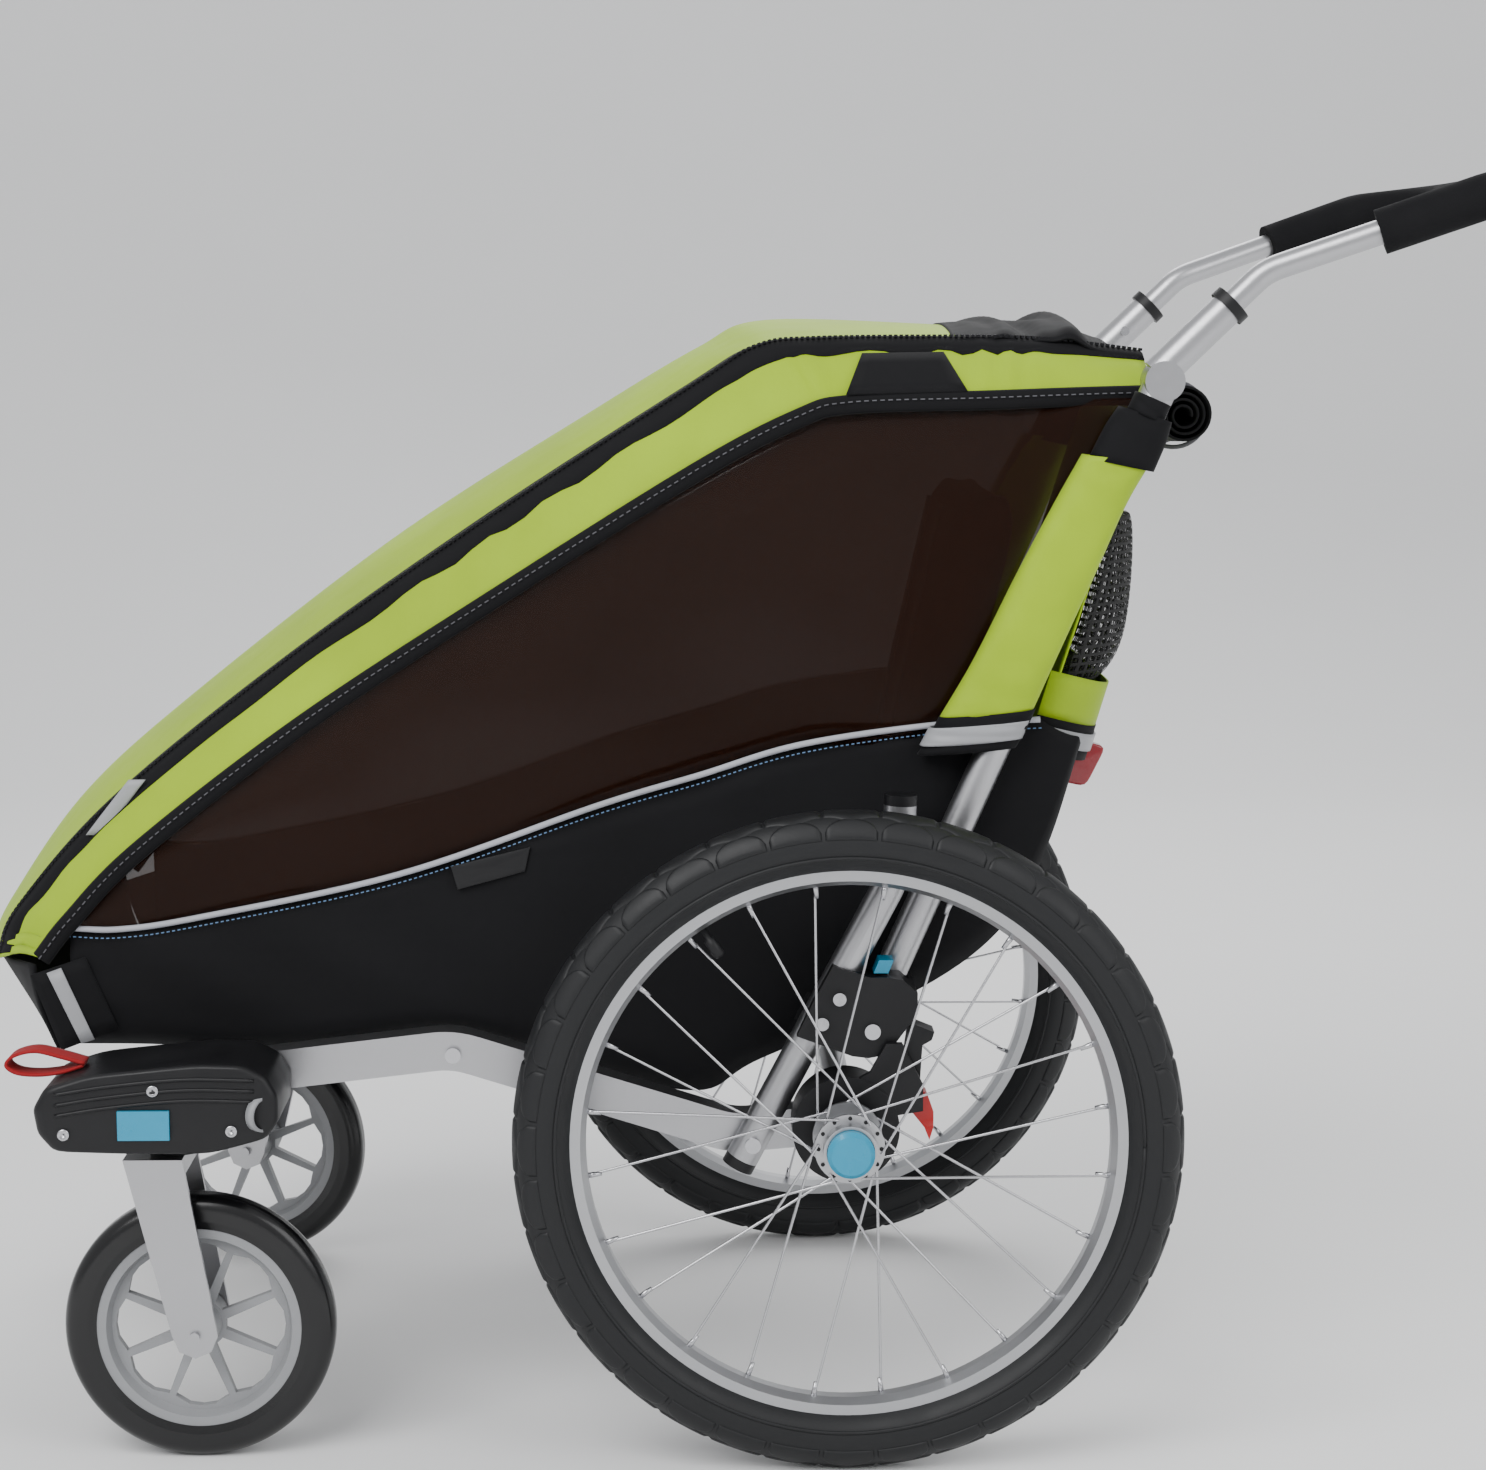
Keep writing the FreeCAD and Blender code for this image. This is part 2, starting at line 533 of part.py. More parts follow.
def frame_bolts(label):
    """Bolts: hinge pivots with their nuts, and the heads on brackets, feet, arms and brake."""
    bolts = []
    head_y = "(bracket_outer + bolt_head / 2)"
    for side, sign in SIDES:
        shank = cylinder("pivot_shank_" + side, "pivot_bolt_r", "bracket_outer - bracket_inner",
                         "pivot_x", "%d * (bracket_outer + bracket_inner) / 2" % sign, "pivot_z")
        head = cylinder("pivot_head_" + side, "bolt_head_r", "bolt_head", "pivot_x",
                        "%d * %s" % (sign, head_y), "pivot_z")
        bolts.append(boolean("Part::Fuse", "pivot_bolt_" + side, shank, head))
        for name, px, pz in (("upper", "-5", "99"), ("lower", "-18", "80")):
            bolts.append(cylinder("bracket_%s_%s" % (name, side), "bolt_head_r - 1", "bolt_head", px,
                                  "%d * %s" % (sign, head_y), pz))
        bolts.append(cylinder("foot_bolt_" + side, "bolt_head_r", "bolt_head", "-70",
                              "%d * (upright_y + frame_tube_od / 2 + bolt_head / 2)" % sign, "-15"))
        bolts.append(cylinder("arm_bolt_" + side, "bolt_head_r", "bolt_head", "arm_crest_x",
                              "%d * (arm_y + arm_wide / 2 + bolt_head / 2)" % sign, "arm_crest_z - 4"))
    bolts.append(cylinder("pedal_pin", "caster_axle_r", "pedal_wide + 4", "pedal_x",
                          "-(carrier_outer - 8.6 - (pedal_wide + 4) / 2)", "pedal_z"))
    return group(label, bolts)


def corner_housing(label, sign):
    """Corner housing: bores for the caster's stem and the accessory, and a pocket for the button."""
    width = "housing_outer - housing_inner"
    middle = "%d * (housing_outer + housing_inner) / 2" % sign
    body = new_body(label + "_blank")
    pad = extrude(body, "XZ_Plane", width, [points_of("housing")])
    DOC.recompute()
    outer = [i + 1 for i, edge in enumerate(pad.Shape.Edges)
             if all(abs(v.Point.y - sign * number(width) / 2) < 0.01 for v in edge.Vertexes)]
    round_over = body.newObject("PartDesign::Chamfer", label + "_edge")
    round_over.Base = (pad, ["Edge%d" % i for i in outer])
    round_over.Size = 6
    pocket = body.newObject("PartDesign::Pocket", label + "_button_pocket")
    sketch = new_sketch(body, "XZ_Plane")
    add_outline(sketch, rectangle("key_long + 2 * key_gap", "key_high + 2 * key_gap", "key_x", "key_z"))
    sketch.AttachmentOffset = FreeCAD.Placement(FreeCAD.Vector(0, 0, -sign * number(width) / 2),
                                                FreeCAD.Rotation())
    pocket.Profile = sketch
    pocket.Length = 18
    pocket.Reversed = sign > 0
    place(body, across=middle)
    stem_hole = cylinder(label + "_stem_hole", "stem_r + running_gap", "stem_high + 4", "swivel_x",
                         "%d * swivel_y" % sign, "stem_base_z - 2", "z")
    drilled = boolean("Part::Cut", label + "_drilled", body, stem_hole)
    socket = DOC.addObject("Part::Cylinder", label + "_socket")
    socket.setExpression("Radius", cells("socket_r"))
    socket.setExpression("Height", cells("socket_deep"))
    place(socket, "socket_x", "%d * (housing_outer - socket_back)" % sign, "socket_z")
    socket.Placement = FreeCAD.Placement(socket.Placement.Base,
                                         FreeCAD.Rotation(FreeCAD.Vector(0, 0, 1), FreeCAD.Vector(0.8, sign * 0.6, 0)))
    return boolean("Part::Cut", label, drilled, socket)


def housing_button(label, sign):
    """Caster release: a rounded key in the housing's outer pocket."""
    body = new_body(label)
    extrude(body, "XZ_Plane", "14", [rectangle("key_long", "key_high", "key_x", "key_z")])
    return place(body, across="%d * (housing_outer - 4)" % sign)


def lock_tab(label, sign):
    """Frame lock: a small catch that lifts along the lower upright."""
    low, high = "pivot_z + 43", "pivot_z + 53"
    points = [("pivot_x + 1", low), ("pivot_x + 12", low), ("pivot_x + 16", high), ("pivot_x + 5", high)]
    return plate(label, points, "20", "%d * (upright_y + 1)" % sign)


def brake_pedal(label):
    """Parking brake: a foot pad on a rocker."""
    points = [("pedal_x - 7", "pedal_z + 5"), ("pedal_x - 1", "pedal_z + 44"), ("pedal_x + 2", "pedal_z + 55"),
              ("pedal_x + 19", "pedal_z + 48"), ("pedal_x + 17", "pedal_z + 42"), ("pedal_x + 10", "pedal_z + 38"),
              ("pedal_x + 8", "pedal_z + 3"), ("pedal_x + 4", "pedal_z - 7"), ("pedal_x - 4", "pedal_z - 7")]
    hole = ("pedal_x", "pedal_z", "caster_axle_r + running_gap")
    return plate(label, points, "pedal_wide", "-pedal_y", [hole])


def brake_tab(label):
    """Release tab of the rocker, below its pivot."""
    points = [("pedal_x - 4", "pedal_z - 7.2"), ("pedal_x + 4.2", "pedal_z - 7.2"), ("pedal_x + 9.4", "pedal_z + 3"),
              ("pedal_x + 14", "pedal_z"), ("pedal_x + 19", "pedal_z - 14"), ("pedal_x + 19", "pedal_z - 26"),
              ("pedal_x + 16", "pedal_z - 36"), ("pedal_x + 12", "pedal_z - 26"), ("pedal_x + 4", "pedal_z - 16")]
    return plate(label, points, "pedal_wide - 4", "-pedal_y")


# ---------------------------------------------------------------- folding frame

def roll_bar(label, sign):
    """Roll bar: the straight tube that folds forwards on the bracket's pivot."""
    body = new_body(label)
    rings = [("0", "0", "frame_tube_od / 2"), ("0", "0", "frame_tube_od / 2 - frame_tube_wall")]
    extrude(body, "XY_Plane", "roll_long + bar_tail - elbow_long", circles=rings, one_way=True)
    extrude(body, "XZ_Plane", "3 * frame_tube_od", circles=[("0", "bar_tail", "pivot_bolt_r + running_gap")], cut=True)
    place(body, "pivot_x - bar_tail * cos(roll_angle)", "%d * roll_y" % sign, "pivot_z - bar_tail * sin(roll_angle)")
    return turn(body, FreeCAD.Vector(0, 1, 0), "90 - roll_angle")


JOINT_X = "(pivot_x + roll_long * cos(roll_angle))"
JOINT_Z = "(pivot_z + roll_long * sin(roll_angle))"
SLEEVE_X = "(%s - handle_shift * sin(handle_angle))" % JOINT_X
SLEEVE_Z = "(%s + handle_shift * cos(handle_angle))" % JOINT_Z


def elbow_joints(label):
    """Elbows: a knuckle on top of each roll bar, with the spigot that carries the handle's sleeve."""
    elbows = []
    for side, sign in SIDES:
        across = "%d * roll_y" % sign
        knuckle = cylinder("knuckle_" + side, "frame_tube_od / 2 + 2.5", "frame_tube_od + 3", JOINT_X, across, JOINT_Z)
        neck = cylinder("neck_" + side, "frame_tube_od / 2 + 1", "elbow_long",
                        "%s - elbow_long * cos(roll_angle)" % JOINT_X, across,
                        "%s - elbow_long * sin(roll_angle)" % JOINT_Z, "tilted", "roll_angle")
        spigot = cylinder("spigot_" + side, "sleeve_od / 2", "sleeve_low", SLEEVE_X, across, SLEEVE_Z, "tilted",
                          "handle_angle")
        lower = boolean("Part::Fuse", "elbow_lower_" + side, knuckle, neck)
        elbows.append(boolean("Part::Fuse", "elbow_" + side, lower, spigot))
    return group(label, elbows)


def handle_sleeve(label, sign):
    """Sleeve: the short tube that each leg of the handle plugs into, with the snap button's hole."""
    body = new_body(label + "_blank")
    rings = [("0", "0", "sleeve_od / 2"), ("0", "0", "handle_od / 2 + sleeve_gap")]
    extrude(body, "XY_Plane", "sleeve_high - sleeve_low", circles=rings, one_way=True)
    place(body, "%s + sleeve_low * cos(handle_angle)" % SLEEVE_X, "%d * handle_y" % sign,
          "%s + sleeve_low * sin(handle_angle)" % SLEEVE_Z)
    turn(body, FreeCAD.Vector(0, 1, 0), "90 - handle_angle")
    hole = cylinder(label + "_hole", "snap_r + running_gap", "sleeve_od / 2",
                    "%s + snap_at * cos(handle_angle)" % SLEEVE_X,
                    "%d * (handle_y - sleeve_od / 2)" % sign,
                    "%s + snap_at * sin(handle_angle)" % SLEEVE_Z)
    return boolean("Part::Cut", label, body, hole)


def sleeve_collars(label):
    """Collars: the ring that finishes each sleeve's mouth."""
    rings = []
    for side, sign in SIDES:
        body = new_body("collar_" + side)
        circles = [("0", "0", "collar_od / 2"), ("0", "0", "handle_od / 2 + sleeve_gap")]
        extrude(body, "XY_Plane", "collar_long", circles=circles, one_way=True)
        place(body, "%s + sleeve_high * cos(handle_angle)" % SLEEVE_X, "%d * handle_y" % sign,
              "%s + sleeve_high * sin(handle_angle)" % SLEEVE_Z)
        rings.append(turn(body, FreeCAD.Vector(0, 1, 0), "90 - handle_angle"))
    return group(label, rings)


def snap_button(label, sign):
    """Snap button: a spring pin in the inner wall of the sleeve."""
    return_y = "%d * (handle_y - sleeve_od / 2 + 0.6)" % sign
    node = cylinder(label, "snap_r", "5.2", "%s + snap_at * cos(handle_angle)" % SLEEVE_X, return_y,
                    "%s + snap_at * sin(handle_angle)" % SLEEVE_Z)
    node.Label = label
    return node


def pillar_sleeves(label):
    """Fabric sleeves round the roll bars."""
    pieces = []
    for side, sign in SIDES:
        body = new_body("pillar_cloth_" + side)
        points = [("72", "306"), ("131", "308"), ("144", "318"), ("229", "503"), ("178", "505")]
        extrude(body, "XZ_Plane", "27.4", [points])
        place(body, across="%d * (roll_y + 0.2)" % sign)
        core = cylinder("pillar_core_" + side, "frame_tube_od / 2 + 0.3", "roll_long", "pivot_x",
                        "%d * roll_y" % sign, "pivot_z", "tilted", "roll_angle")
        pieces.append(boolean("Part::Cut", "pillar_sleeve_" + side, body, core))
    return group(label, pieces)


def rounded_wire(points, radii):
    """Straight runs joined by tangent arcs, for bars that bend in more than one plane."""
    edges = []
    last = points[0]
    for index, radius in enumerate(radii):
        corner = points[index + 1]
        back = (points[index] - corner).normalize()
        ahead = (points[index + 2] - corner).normalize()
        angle = back.getAngle(ahead)
        reach = radius / math.tan(angle / 2)
        start = corner + back * reach
        end = corner + ahead * reach
        centre = corner + (back + ahead).normalize() * (radius / math.sin(angle / 2))
        crest = centre + (corner - centre).normalize() * radius
        if (start - last).Length > 1e-6:
            edges.append(Part.LineSegment(last, start).toShape())
        edges.append(Part.Arc(start, crest, end).toShape())
        last = end
    edges.append(Part.LineSegment(last, points[-1]).toShape())
    return Part.Wire(edges)


def swept_round(path, radius):
    """A solid round bar along a wire."""
    start = path.OrderedEdges[0]
    point = start.valueAt(start.FirstParameter)
    heading = start.tangentAt(start.FirstParameter)
    circle = Part.Wire(Part.makeCircle(radius, point, heading))
    return path.makePipeShell([circle], True, False)


def handle_points():
    """Corners of the handle's left half, from the plugged end to the middle of the crossbar."""
    lean = math.radians(number("handle_angle"))
    root = FreeCAD.Vector(number(SLEEVE_X), 0, number(SLEEVE_Z))
    heading = FreeCAD.Vector(math.cos(lean), 0, math.sin(lean))
    inner = FreeCAD.Vector(0, -number("handle_y"), 0)
    outer = FreeCAD.Vector(0, -number("handle_wide"), 0)
    plug = root + heading * number("handle_low") + inner
    bend = root + heading * number("handle_bend") + inner
    knee = FreeCAD.Vector(number("handle_knee_x"), 0, number("handle_knee_z")) + outer
    corner = FreeCAD.Vector(number("handle_end_x"), 0, number("handle_end_z")) + outer
    return plug, bend, knee, corner


def mirrored(point):
    """The same point on the other side."""
    return FreeCAD.Vector(point.x, -point.y, point.z)


HANDLE_BENDS = (45.0, 60.0, 45.0)


def handlebar(label):
    """Handle: one bent tube with two legs, slotted on the inside where the snap buttons pass."""
    left = handle_points()
    right = [mirrored(point) for point in reversed(left)]
    path = rounded_wire(list(left) + right, list(HANDLE_BENDS) + list(reversed(HANDLE_BENDS)))
    radius = number("handle_od / 2")
    tube = swept_round(path, radius).cut(swept_round(path, radius - number("handle_wall")))
    lean = math.radians(number("handle_angle"))
    heading = FreeCAD.Vector(math.cos(lean), 0, math.sin(lean))
    wide = number("2 * snap_r + 0.6")
    deep = number("snap_at + snap_r + 0.3 - handle_low")
    for sign in (-1, 1):
        block = Part.makeBox(wide, number("handle_od / 2"), deep + 5)
        block.translate(FreeCAD.Vector(-wide / 2, 0 if sign < 0 else -number("handle_od / 2"), -5))
        block.rotate(FreeCAD.Vector(), FreeCAD.Vector(0, 1, 0), 90 - number("handle_angle"))
        plug = left[0] if sign < 0 else mirrored(left[0])
        block.translate(plug)
        tube = tube.cut(block)
    return coded(label, tube)


def foam_grips(label):
    """Foam grips: round each leg's end, the corner and the crossbar, with a bare middle."""
    plug, bend, knee, corner = handle_points()
    share = (number("grip_start_x") - bend.x) / (knee.x - bend.x)
    start = bend + (knee - bend) * share
    middle = FreeCAD.Vector(corner.x, -number("grip_gap"), corner.z)
    grips = []
    for mirror in (False, True):
        points = [start, knee, corner, middle]
        if mirror:
            points = [mirrored(point) for point in points]
        path = rounded_wire(points, HANDLE_BENDS[1:])
        outer = swept_round(path, number("grip_od / 2"))
        grips.append(outer.cut(swept_round(path, number("handle_od / 2 + 0.1"))))
    return coded(label, Part.makeCompound(grips))


def roof_hoop(label):
    """Roof hoop: a U of tube that folds on the elbows, with a pivot pin at each end."""
    joint = FreeCAD.Vector(number(JOINT_X), -number("hoop_y"), number(JOINT_Z))
    front = FreeCAD.Vector(number("hoop_front_x"), -number("hoop_y"), number("hoop_front_z"))
    tail = joint + (joint - front).normalize() * number("hoop_od * 0.6")
    path = rounded_wire([tail, front, mirrored(front), mirrored(tail)], [number("hoop_bend")] * 2)
    hoop = swept_round(path, number("hoop_od / 2"))
    inner_face = number("roll_y - (frame_tube_od + 3) / 2 - slot_gap / 2")
    pin_start = number("hoop_y")
    for sign in (-1, 1):
        start = FreeCAD.Vector(joint.x, sign * pin_start, joint.z)
        pin = Part.makeCylinder(number("hoop_pin_r"), inner_face - pin_start, start, FreeCAD.Vector(0, sign, 0))
        hoop = hoop.fuse(pin)
    return coded(label, hoop)


# ---------------------------------------------------------------- casters

def caster_place(item, sign, turned):
    """Put a caster piece on its swivel axis, turned about it on the right side."""
    place(item, "swivel_x", "%d * swivel_y" % sign)
    if turned:
        turn(item, FreeCAD.Vector(0, 0, 1), "caster_turn")
    return item


def caster_stem(label, sign):
    """Stem: a pin in the housing, a flange below it and a spigot for the fork."""
    body = new_body(label)
    low = "stem_base_z - stem_flange"
    tip = "%s - crown_wall" % low
    sketch = new_sketch(body, "XZ_Plane")
    outline = [("0", tip), ("spigot_r", tip), ("spigot_r", low), ("stem_flange_r", low),
               ("stem_flange_r", "stem_base_z - 0.3"), ("stem_r", "stem_base_z - 0.3"),
               ("stem_r", "stem_base_z + stem_high"), ("0", "stem_base_z + stem_high")]
    add_outline(sketch, outline)
    spin = body.newObject("PartDesign::Revolution", label + "_turned")
    spin.Profile = sketch
    spin.ReferenceAxis = (sketch, ["V_Axis"])
    spin.Angle = 360
    return place(body, "swivel_x", "%d * swivel_y" % sign)


CASTER_Z = "(caster_od / 2 - tyre_od / 2)"


def caster_fork(label, sign):
    """Fork: a crown plate, two leaning blades and the wheel's axle."""
    crown_top = "stem_base_z - stem_flange - 0.3"
    body = new_body(label + "_blank")
    half = "fork_gap + blade_wall"
    blade = [("-blade_lead", crown_top), ("caster_trail - blade_end_r", CASTER_Z),
             ("caster_trail - blade_end_r * 0.7", "%s - blade_end_r * 0.7" % CASTER_Z),
             ("caster_trail", "%s - blade_end_r" % CASTER_Z),
             ("caster_trail + blade_end_r * 0.7", "%s - blade_end_r * 0.7" % CASTER_Z),
             ("caster_trail + blade_end_r", CASTER_Z), ("blade_top - blade_lead", crown_top)]
    extrude(body, "XZ_Plane", "2 * (%s)" % half, [blade])
    gap = [("-80", "%s - crown_wall" % crown_top), ("-80", "%s - 60" % CASTER_Z), ("80", "%s - 60" % CASTER_Z),
           ("80", "%s - crown_wall" % crown_top)]
    extrude(body, "XZ_Plane", "2 * fork_gap", [gap], cut=True)
    extrude(body, "XY_Plane", "200", circles=[("0", "0", "spigot_r + running_gap")], cut=True)
    caster_place(body, sign, sign > 0)
    pin = DOC.addObject("Part::Cylinder", label + "_axle")
    pin.setExpression("Radius", cells("caster_axle_r"))
    pin.setExpression("Height", cells("2 * (%s + 4)" % half))
    where = "caster_trail * cos(caster_turn)" if sign > 0 else "caster_trail"
    shift = "caster_trail * sin(caster_turn)" if sign > 0 else "0"
    reach = "(%s + 4)" % half
    if sign > 0:
        place(pin, "swivel_x + %s - %s * sin(caster_turn)" % (where, reach),
              "swivel_y + %s + %s * cos(caster_turn)" % (shift, reach), CASTER_Z)
    else:
        place(pin, "swivel_x + %s" % where, "-swivel_y + %s" % reach, CASTER_Z)
    spin = number("caster_turn") if sign > 0 else 0
    rotation = FreeCAD.Rotation(FreeCAD.Vector(0, 0, 1), spin).multiply(FreeCAD.Rotation(FreeCAD.Vector(1, 0, 0), 90))
    pin.Placement = FreeCAD.Placement(pin.Placement.Base, rotation)
    return boolean("Part::Fuse", label, body, pin)


def caster_on_axle(body, sign):
    """Put a caster wheel's body on the fork's axle."""
    if sign > 0:
        place(body, "swivel_x + caster_trail * cos(caster_turn)",
              "swivel_y + caster_trail * sin(caster_turn)", CASTER_Z)
        return turn(body, FreeCAD.Vector(0, 0, 1), "caster_turn")
    return place(body, "swivel_x + caster_trail", "-swivel_y", CASTER_Z)


def caster_wheel(label, sign):
    """Caster wheel: hub, eight spokes left by windows in the web, and rim."""
    body = new_body(label)
    rim_half = "caster_width / 2 - 2"
    bore = "caster_axle_r + running_gap"
    outline = [("-(fork_gap - 1.5)", bore), ("-(fork_gap - 1.5)", "caster_hub_r"), ("-caster_web / 2", "caster_hub_r"),
               ("-caster_web / 2", "caster_rim_r - caster_rim_wall"),
               ("-(%s)" % rim_half, "caster_rim_r - caster_rim_wall + 3"),
               ("-(%s)" % rim_half, "caster_rim_r"), (rim_half, "caster_rim_r"),
               (rim_half, "caster_rim_r - caster_rim_wall + 3"),
               ("caster_web / 2", "caster_rim_r - caster_rim_wall"), ("caster_web / 2", "caster_hub_r"),
               ("fork_gap - 1.5", "caster_hub_r"), ("fork_gap - 1.5", bore)]
    revolve(body, outline)
    inner = "caster_hub_r + 3"
    outer = "caster_rim_r - caster_rim_wall - 3"
    half_foot, half_top = "caster_hub_r * 0.24", "caster_rim_r * 0.265"
    window = [("-(%s)" % half_foot, inner), (half_foot, inner), (half_top, "%s - 8" % outer),
              ("%s / 2" % half_top, "%s - 1.5" % outer), ("0", outer), ("-(%s) / 2" % half_top, "%s - 1.5" % outer),
              ("-(%s)" % half_top, "%s - 8" % outer)]
    pocket = extrude(body, "XZ_Plane", "3 * caster_web", [window], cut=True)
    DOC.recompute()
    pattern = body.newObject("PartDesign::PolarPattern", label + "_windows")
    pattern.Originals = [pocket]
    axis = [item for item in body.Origin.OriginFeatures if item.Role == "Y_Axis"][0]
    pattern.Axis = (axis, [""])
    pattern.Angle = 360
    pattern.Occurrences = CASTER_SPOKES
    body.Tip = pattern
    return caster_on_axle(body, sign)


def caster_tyre(label, sign):
    """Caster tyre: a ring with a rounded tread."""
    body = new_body(label)
    half = "caster_width / 2"
    outer = "caster_od / 2"
    outline = [("-%s + 1.4" % half, "caster_rim_r"), ("-%s" % half, "caster_rim_r + 6"),
               ("-%s" % half, "%s - 11" % outer, "11", -1), ("-%s + 11" % half, outer),
               ("%s - 11" % half, outer, "11", -1), (half, "%s - 11" % outer), (half, "caster_rim_r + 6"),
               ("%s - 1.4" % half, "caster_rim_r")]
    revolve(body, outline)
    return caster_on_axle(body, sign)


# ---------------------------------------------------------------- cabin fabric

def cabin_tub(label):
    """Tub: floor, sides, nose and rear wall of the cabin, open at the top."""
    body = new_body(label)
    belt = list(reversed(points_of("belt")))
    outline = points_of("keel") + [("150", "306")] + belt + [("-592", "136")]
    extrude(body, "XZ_Plane", "2 * tub_half", [outline])
    keel = points_of("keel")
    inner = [("keel_x_0 + 3 * cloth", "keel_z_0 + 60")]
    inner += [("keel_x_1 + 2 * cloth", "keel_z_1 + cloth")]
    inner += [(px, "%s + 1.25 * cloth" % pz) for px, pz in keel[3:10]]
    inner += [("keel_x_10 - cloth / 2", "keel_z_10 + 1.3 * cloth"), ("keel_x_11 - cloth", "keel_z_11 + cloth"),
              ("keel_x_12 - cloth", "keel_z_12"), ("keel_x_13 - 2.4 * cloth", "keel_z_13"),
              ("150 - 1.2 * cloth", "420"), ("-640", "420")]
    extrude(body, "XZ_Plane", "2 * (tub_half - cloth)", [inner], cut=True)
    return place(body)


def offset_band(outer, depth):
    """A second row of points, the given depth inside an outline."""
    inner = []
    for index, point in enumerate(outer):
        before = outer[max(index - 1, 0)]
        after = outer[min(index + 1, len(outer) - 1)]
        heading = (after - before).normalize()
        inner.append(point + FreeCAD.Vector(heading.z, 0, -heading.x) * depth)
    return inner


def canopy(label):
    """Canopy: one curved band of cloth over the cabin, with its shoulders at the zips."""
    sections = []
    rows = (("trim", "-trim_y"), ("seam", "-zip_y"), ("crown", "0"), ("seam", "zip_y"), ("trim", "trim_y"))
    for name, across in rows:
        outer = [FreeCAD.Vector(number(px), number(across), number(pz)) for px, pz in points_of(name)]
        ring = outer + list(reversed(offset_band(outer, number("cloth"))))
        sections.append(Part.makePolygon(ring + [ring[0]]))
    return coded(label, Part.makeLoft(sections, True, True))


def side_windows(label):
    """Side windows: a clear panel on each side between the canopy's trim and the tub's belt."""
    panes = []
    for side, sign in SIDES:
        body = new_body("window_" + side)
        belt = [(px, "%s + 2" % pz) for px, pz in points_of("belt", 1)]
        rear = [("150", "308"), ("166", "463"), ("206", "536")]
        top = [(px, "%s - 6" % pz) for px, pz in reversed(points_of("trim", 2, 8))]
        extrude(body, "XZ_Plane", "window_wall", [belt + rear + top])
        panes.append(place(body, across="%d * window_y" % sign))
    return group(label, panes)


def seat(label):
    """Seat: a padded base and a reclined back in one."""
    points = [("-188", "98"), ("-188", "134"), ("18", "122"), ("98", "468"), ("134", "462"), ("58", "112"), ("20", "90")]
    return plate(label, points, "2 * seat_half", "0")


def seat_harness(label):
    """Harness: two shoulder straps down the back and one strap over the base."""
    straps = []
    back = [("21", "146"), ("90.3", "446"), ("87", "446"), ("17.6", "146")]
    for name, across in (("left", "-55"), ("right", "55")):
        body = new_body("shoulder_strap_" + name)
        extrude(body, "XZ_Plane", "strap_wide", [back])
        straps.append(place(body, across=across))
    base = new_body("crotch_strap")
    low = [("-120", "130.8"), ("-120", "133.8"), ("-40", "129"), ("-40", "126")]
    extrude(base, "XZ_Plane", "strap_wide", [low])
    straps.append(place(base))
    return group(label, straps)


def harness_buckle(label):
    """Buckle: joins the harness in front of the seat."""
    points = [("-86", "133"), ("-86", "147"), ("-40", "145"), ("-36", "138"), ("-36", "130")]
    return plate(label, points, "44", "0")


def rear_panel(label):
    """Rear panel: the cabin's back from the tub up to the canopy."""
    points = [("186", "284"), ("192", "284"), ("231", "536"), ("225", "536")]
    return plate(label, points, "2 * (tub_half - 4)", "0")


def cargo_bag(label):
    """Cargo bag: a slack pocket behind the rear panel, open at its top."""
    body = new_body(label)
    outer = [("193", "284"), ("200", "268"), ("222", "288"), ("244", "330"), ("244", "360"), ("238", "442"),
             ("217.5", "442")]
    inner = [("197.5", "287"), ("203", "275"), ("219", "291"), ("240", "332"), ("240", "360"), ("234", "460"),
             ("224", "460")]
    extrude(body, "XZ_Plane", "340", [outer])
    extrude(body, "XZ_Plane", "332", [inner], cut=True)
    return place(body)


def rear_reflector(label):
    """Reflector on the rear flap."""
    points = [("180", "236"), ("212", "236"), ("216", "240"), ("214", "266"), ("180", "266"), ("176", "262"),
              ("176", "240")]
    return plate(label, points, "12", "-100")


def rolled_cover(label):
    """Rain cover, rolled and tied across the top of the rear."""
    node = cylinder(label, "24", "280", "264", "0", "531")
    node.Label = label
    return node


def strap_loop(label):
    """Tow strap: a loop of webbing on top of the left front corner."""
    body = new_body(label)
    extrude(body, "XZ_Plane", "strap_loop_wide", [points_of("strap_outer"), points_of("strap_inner")])
    return place(body, across="-strap_loop_y")


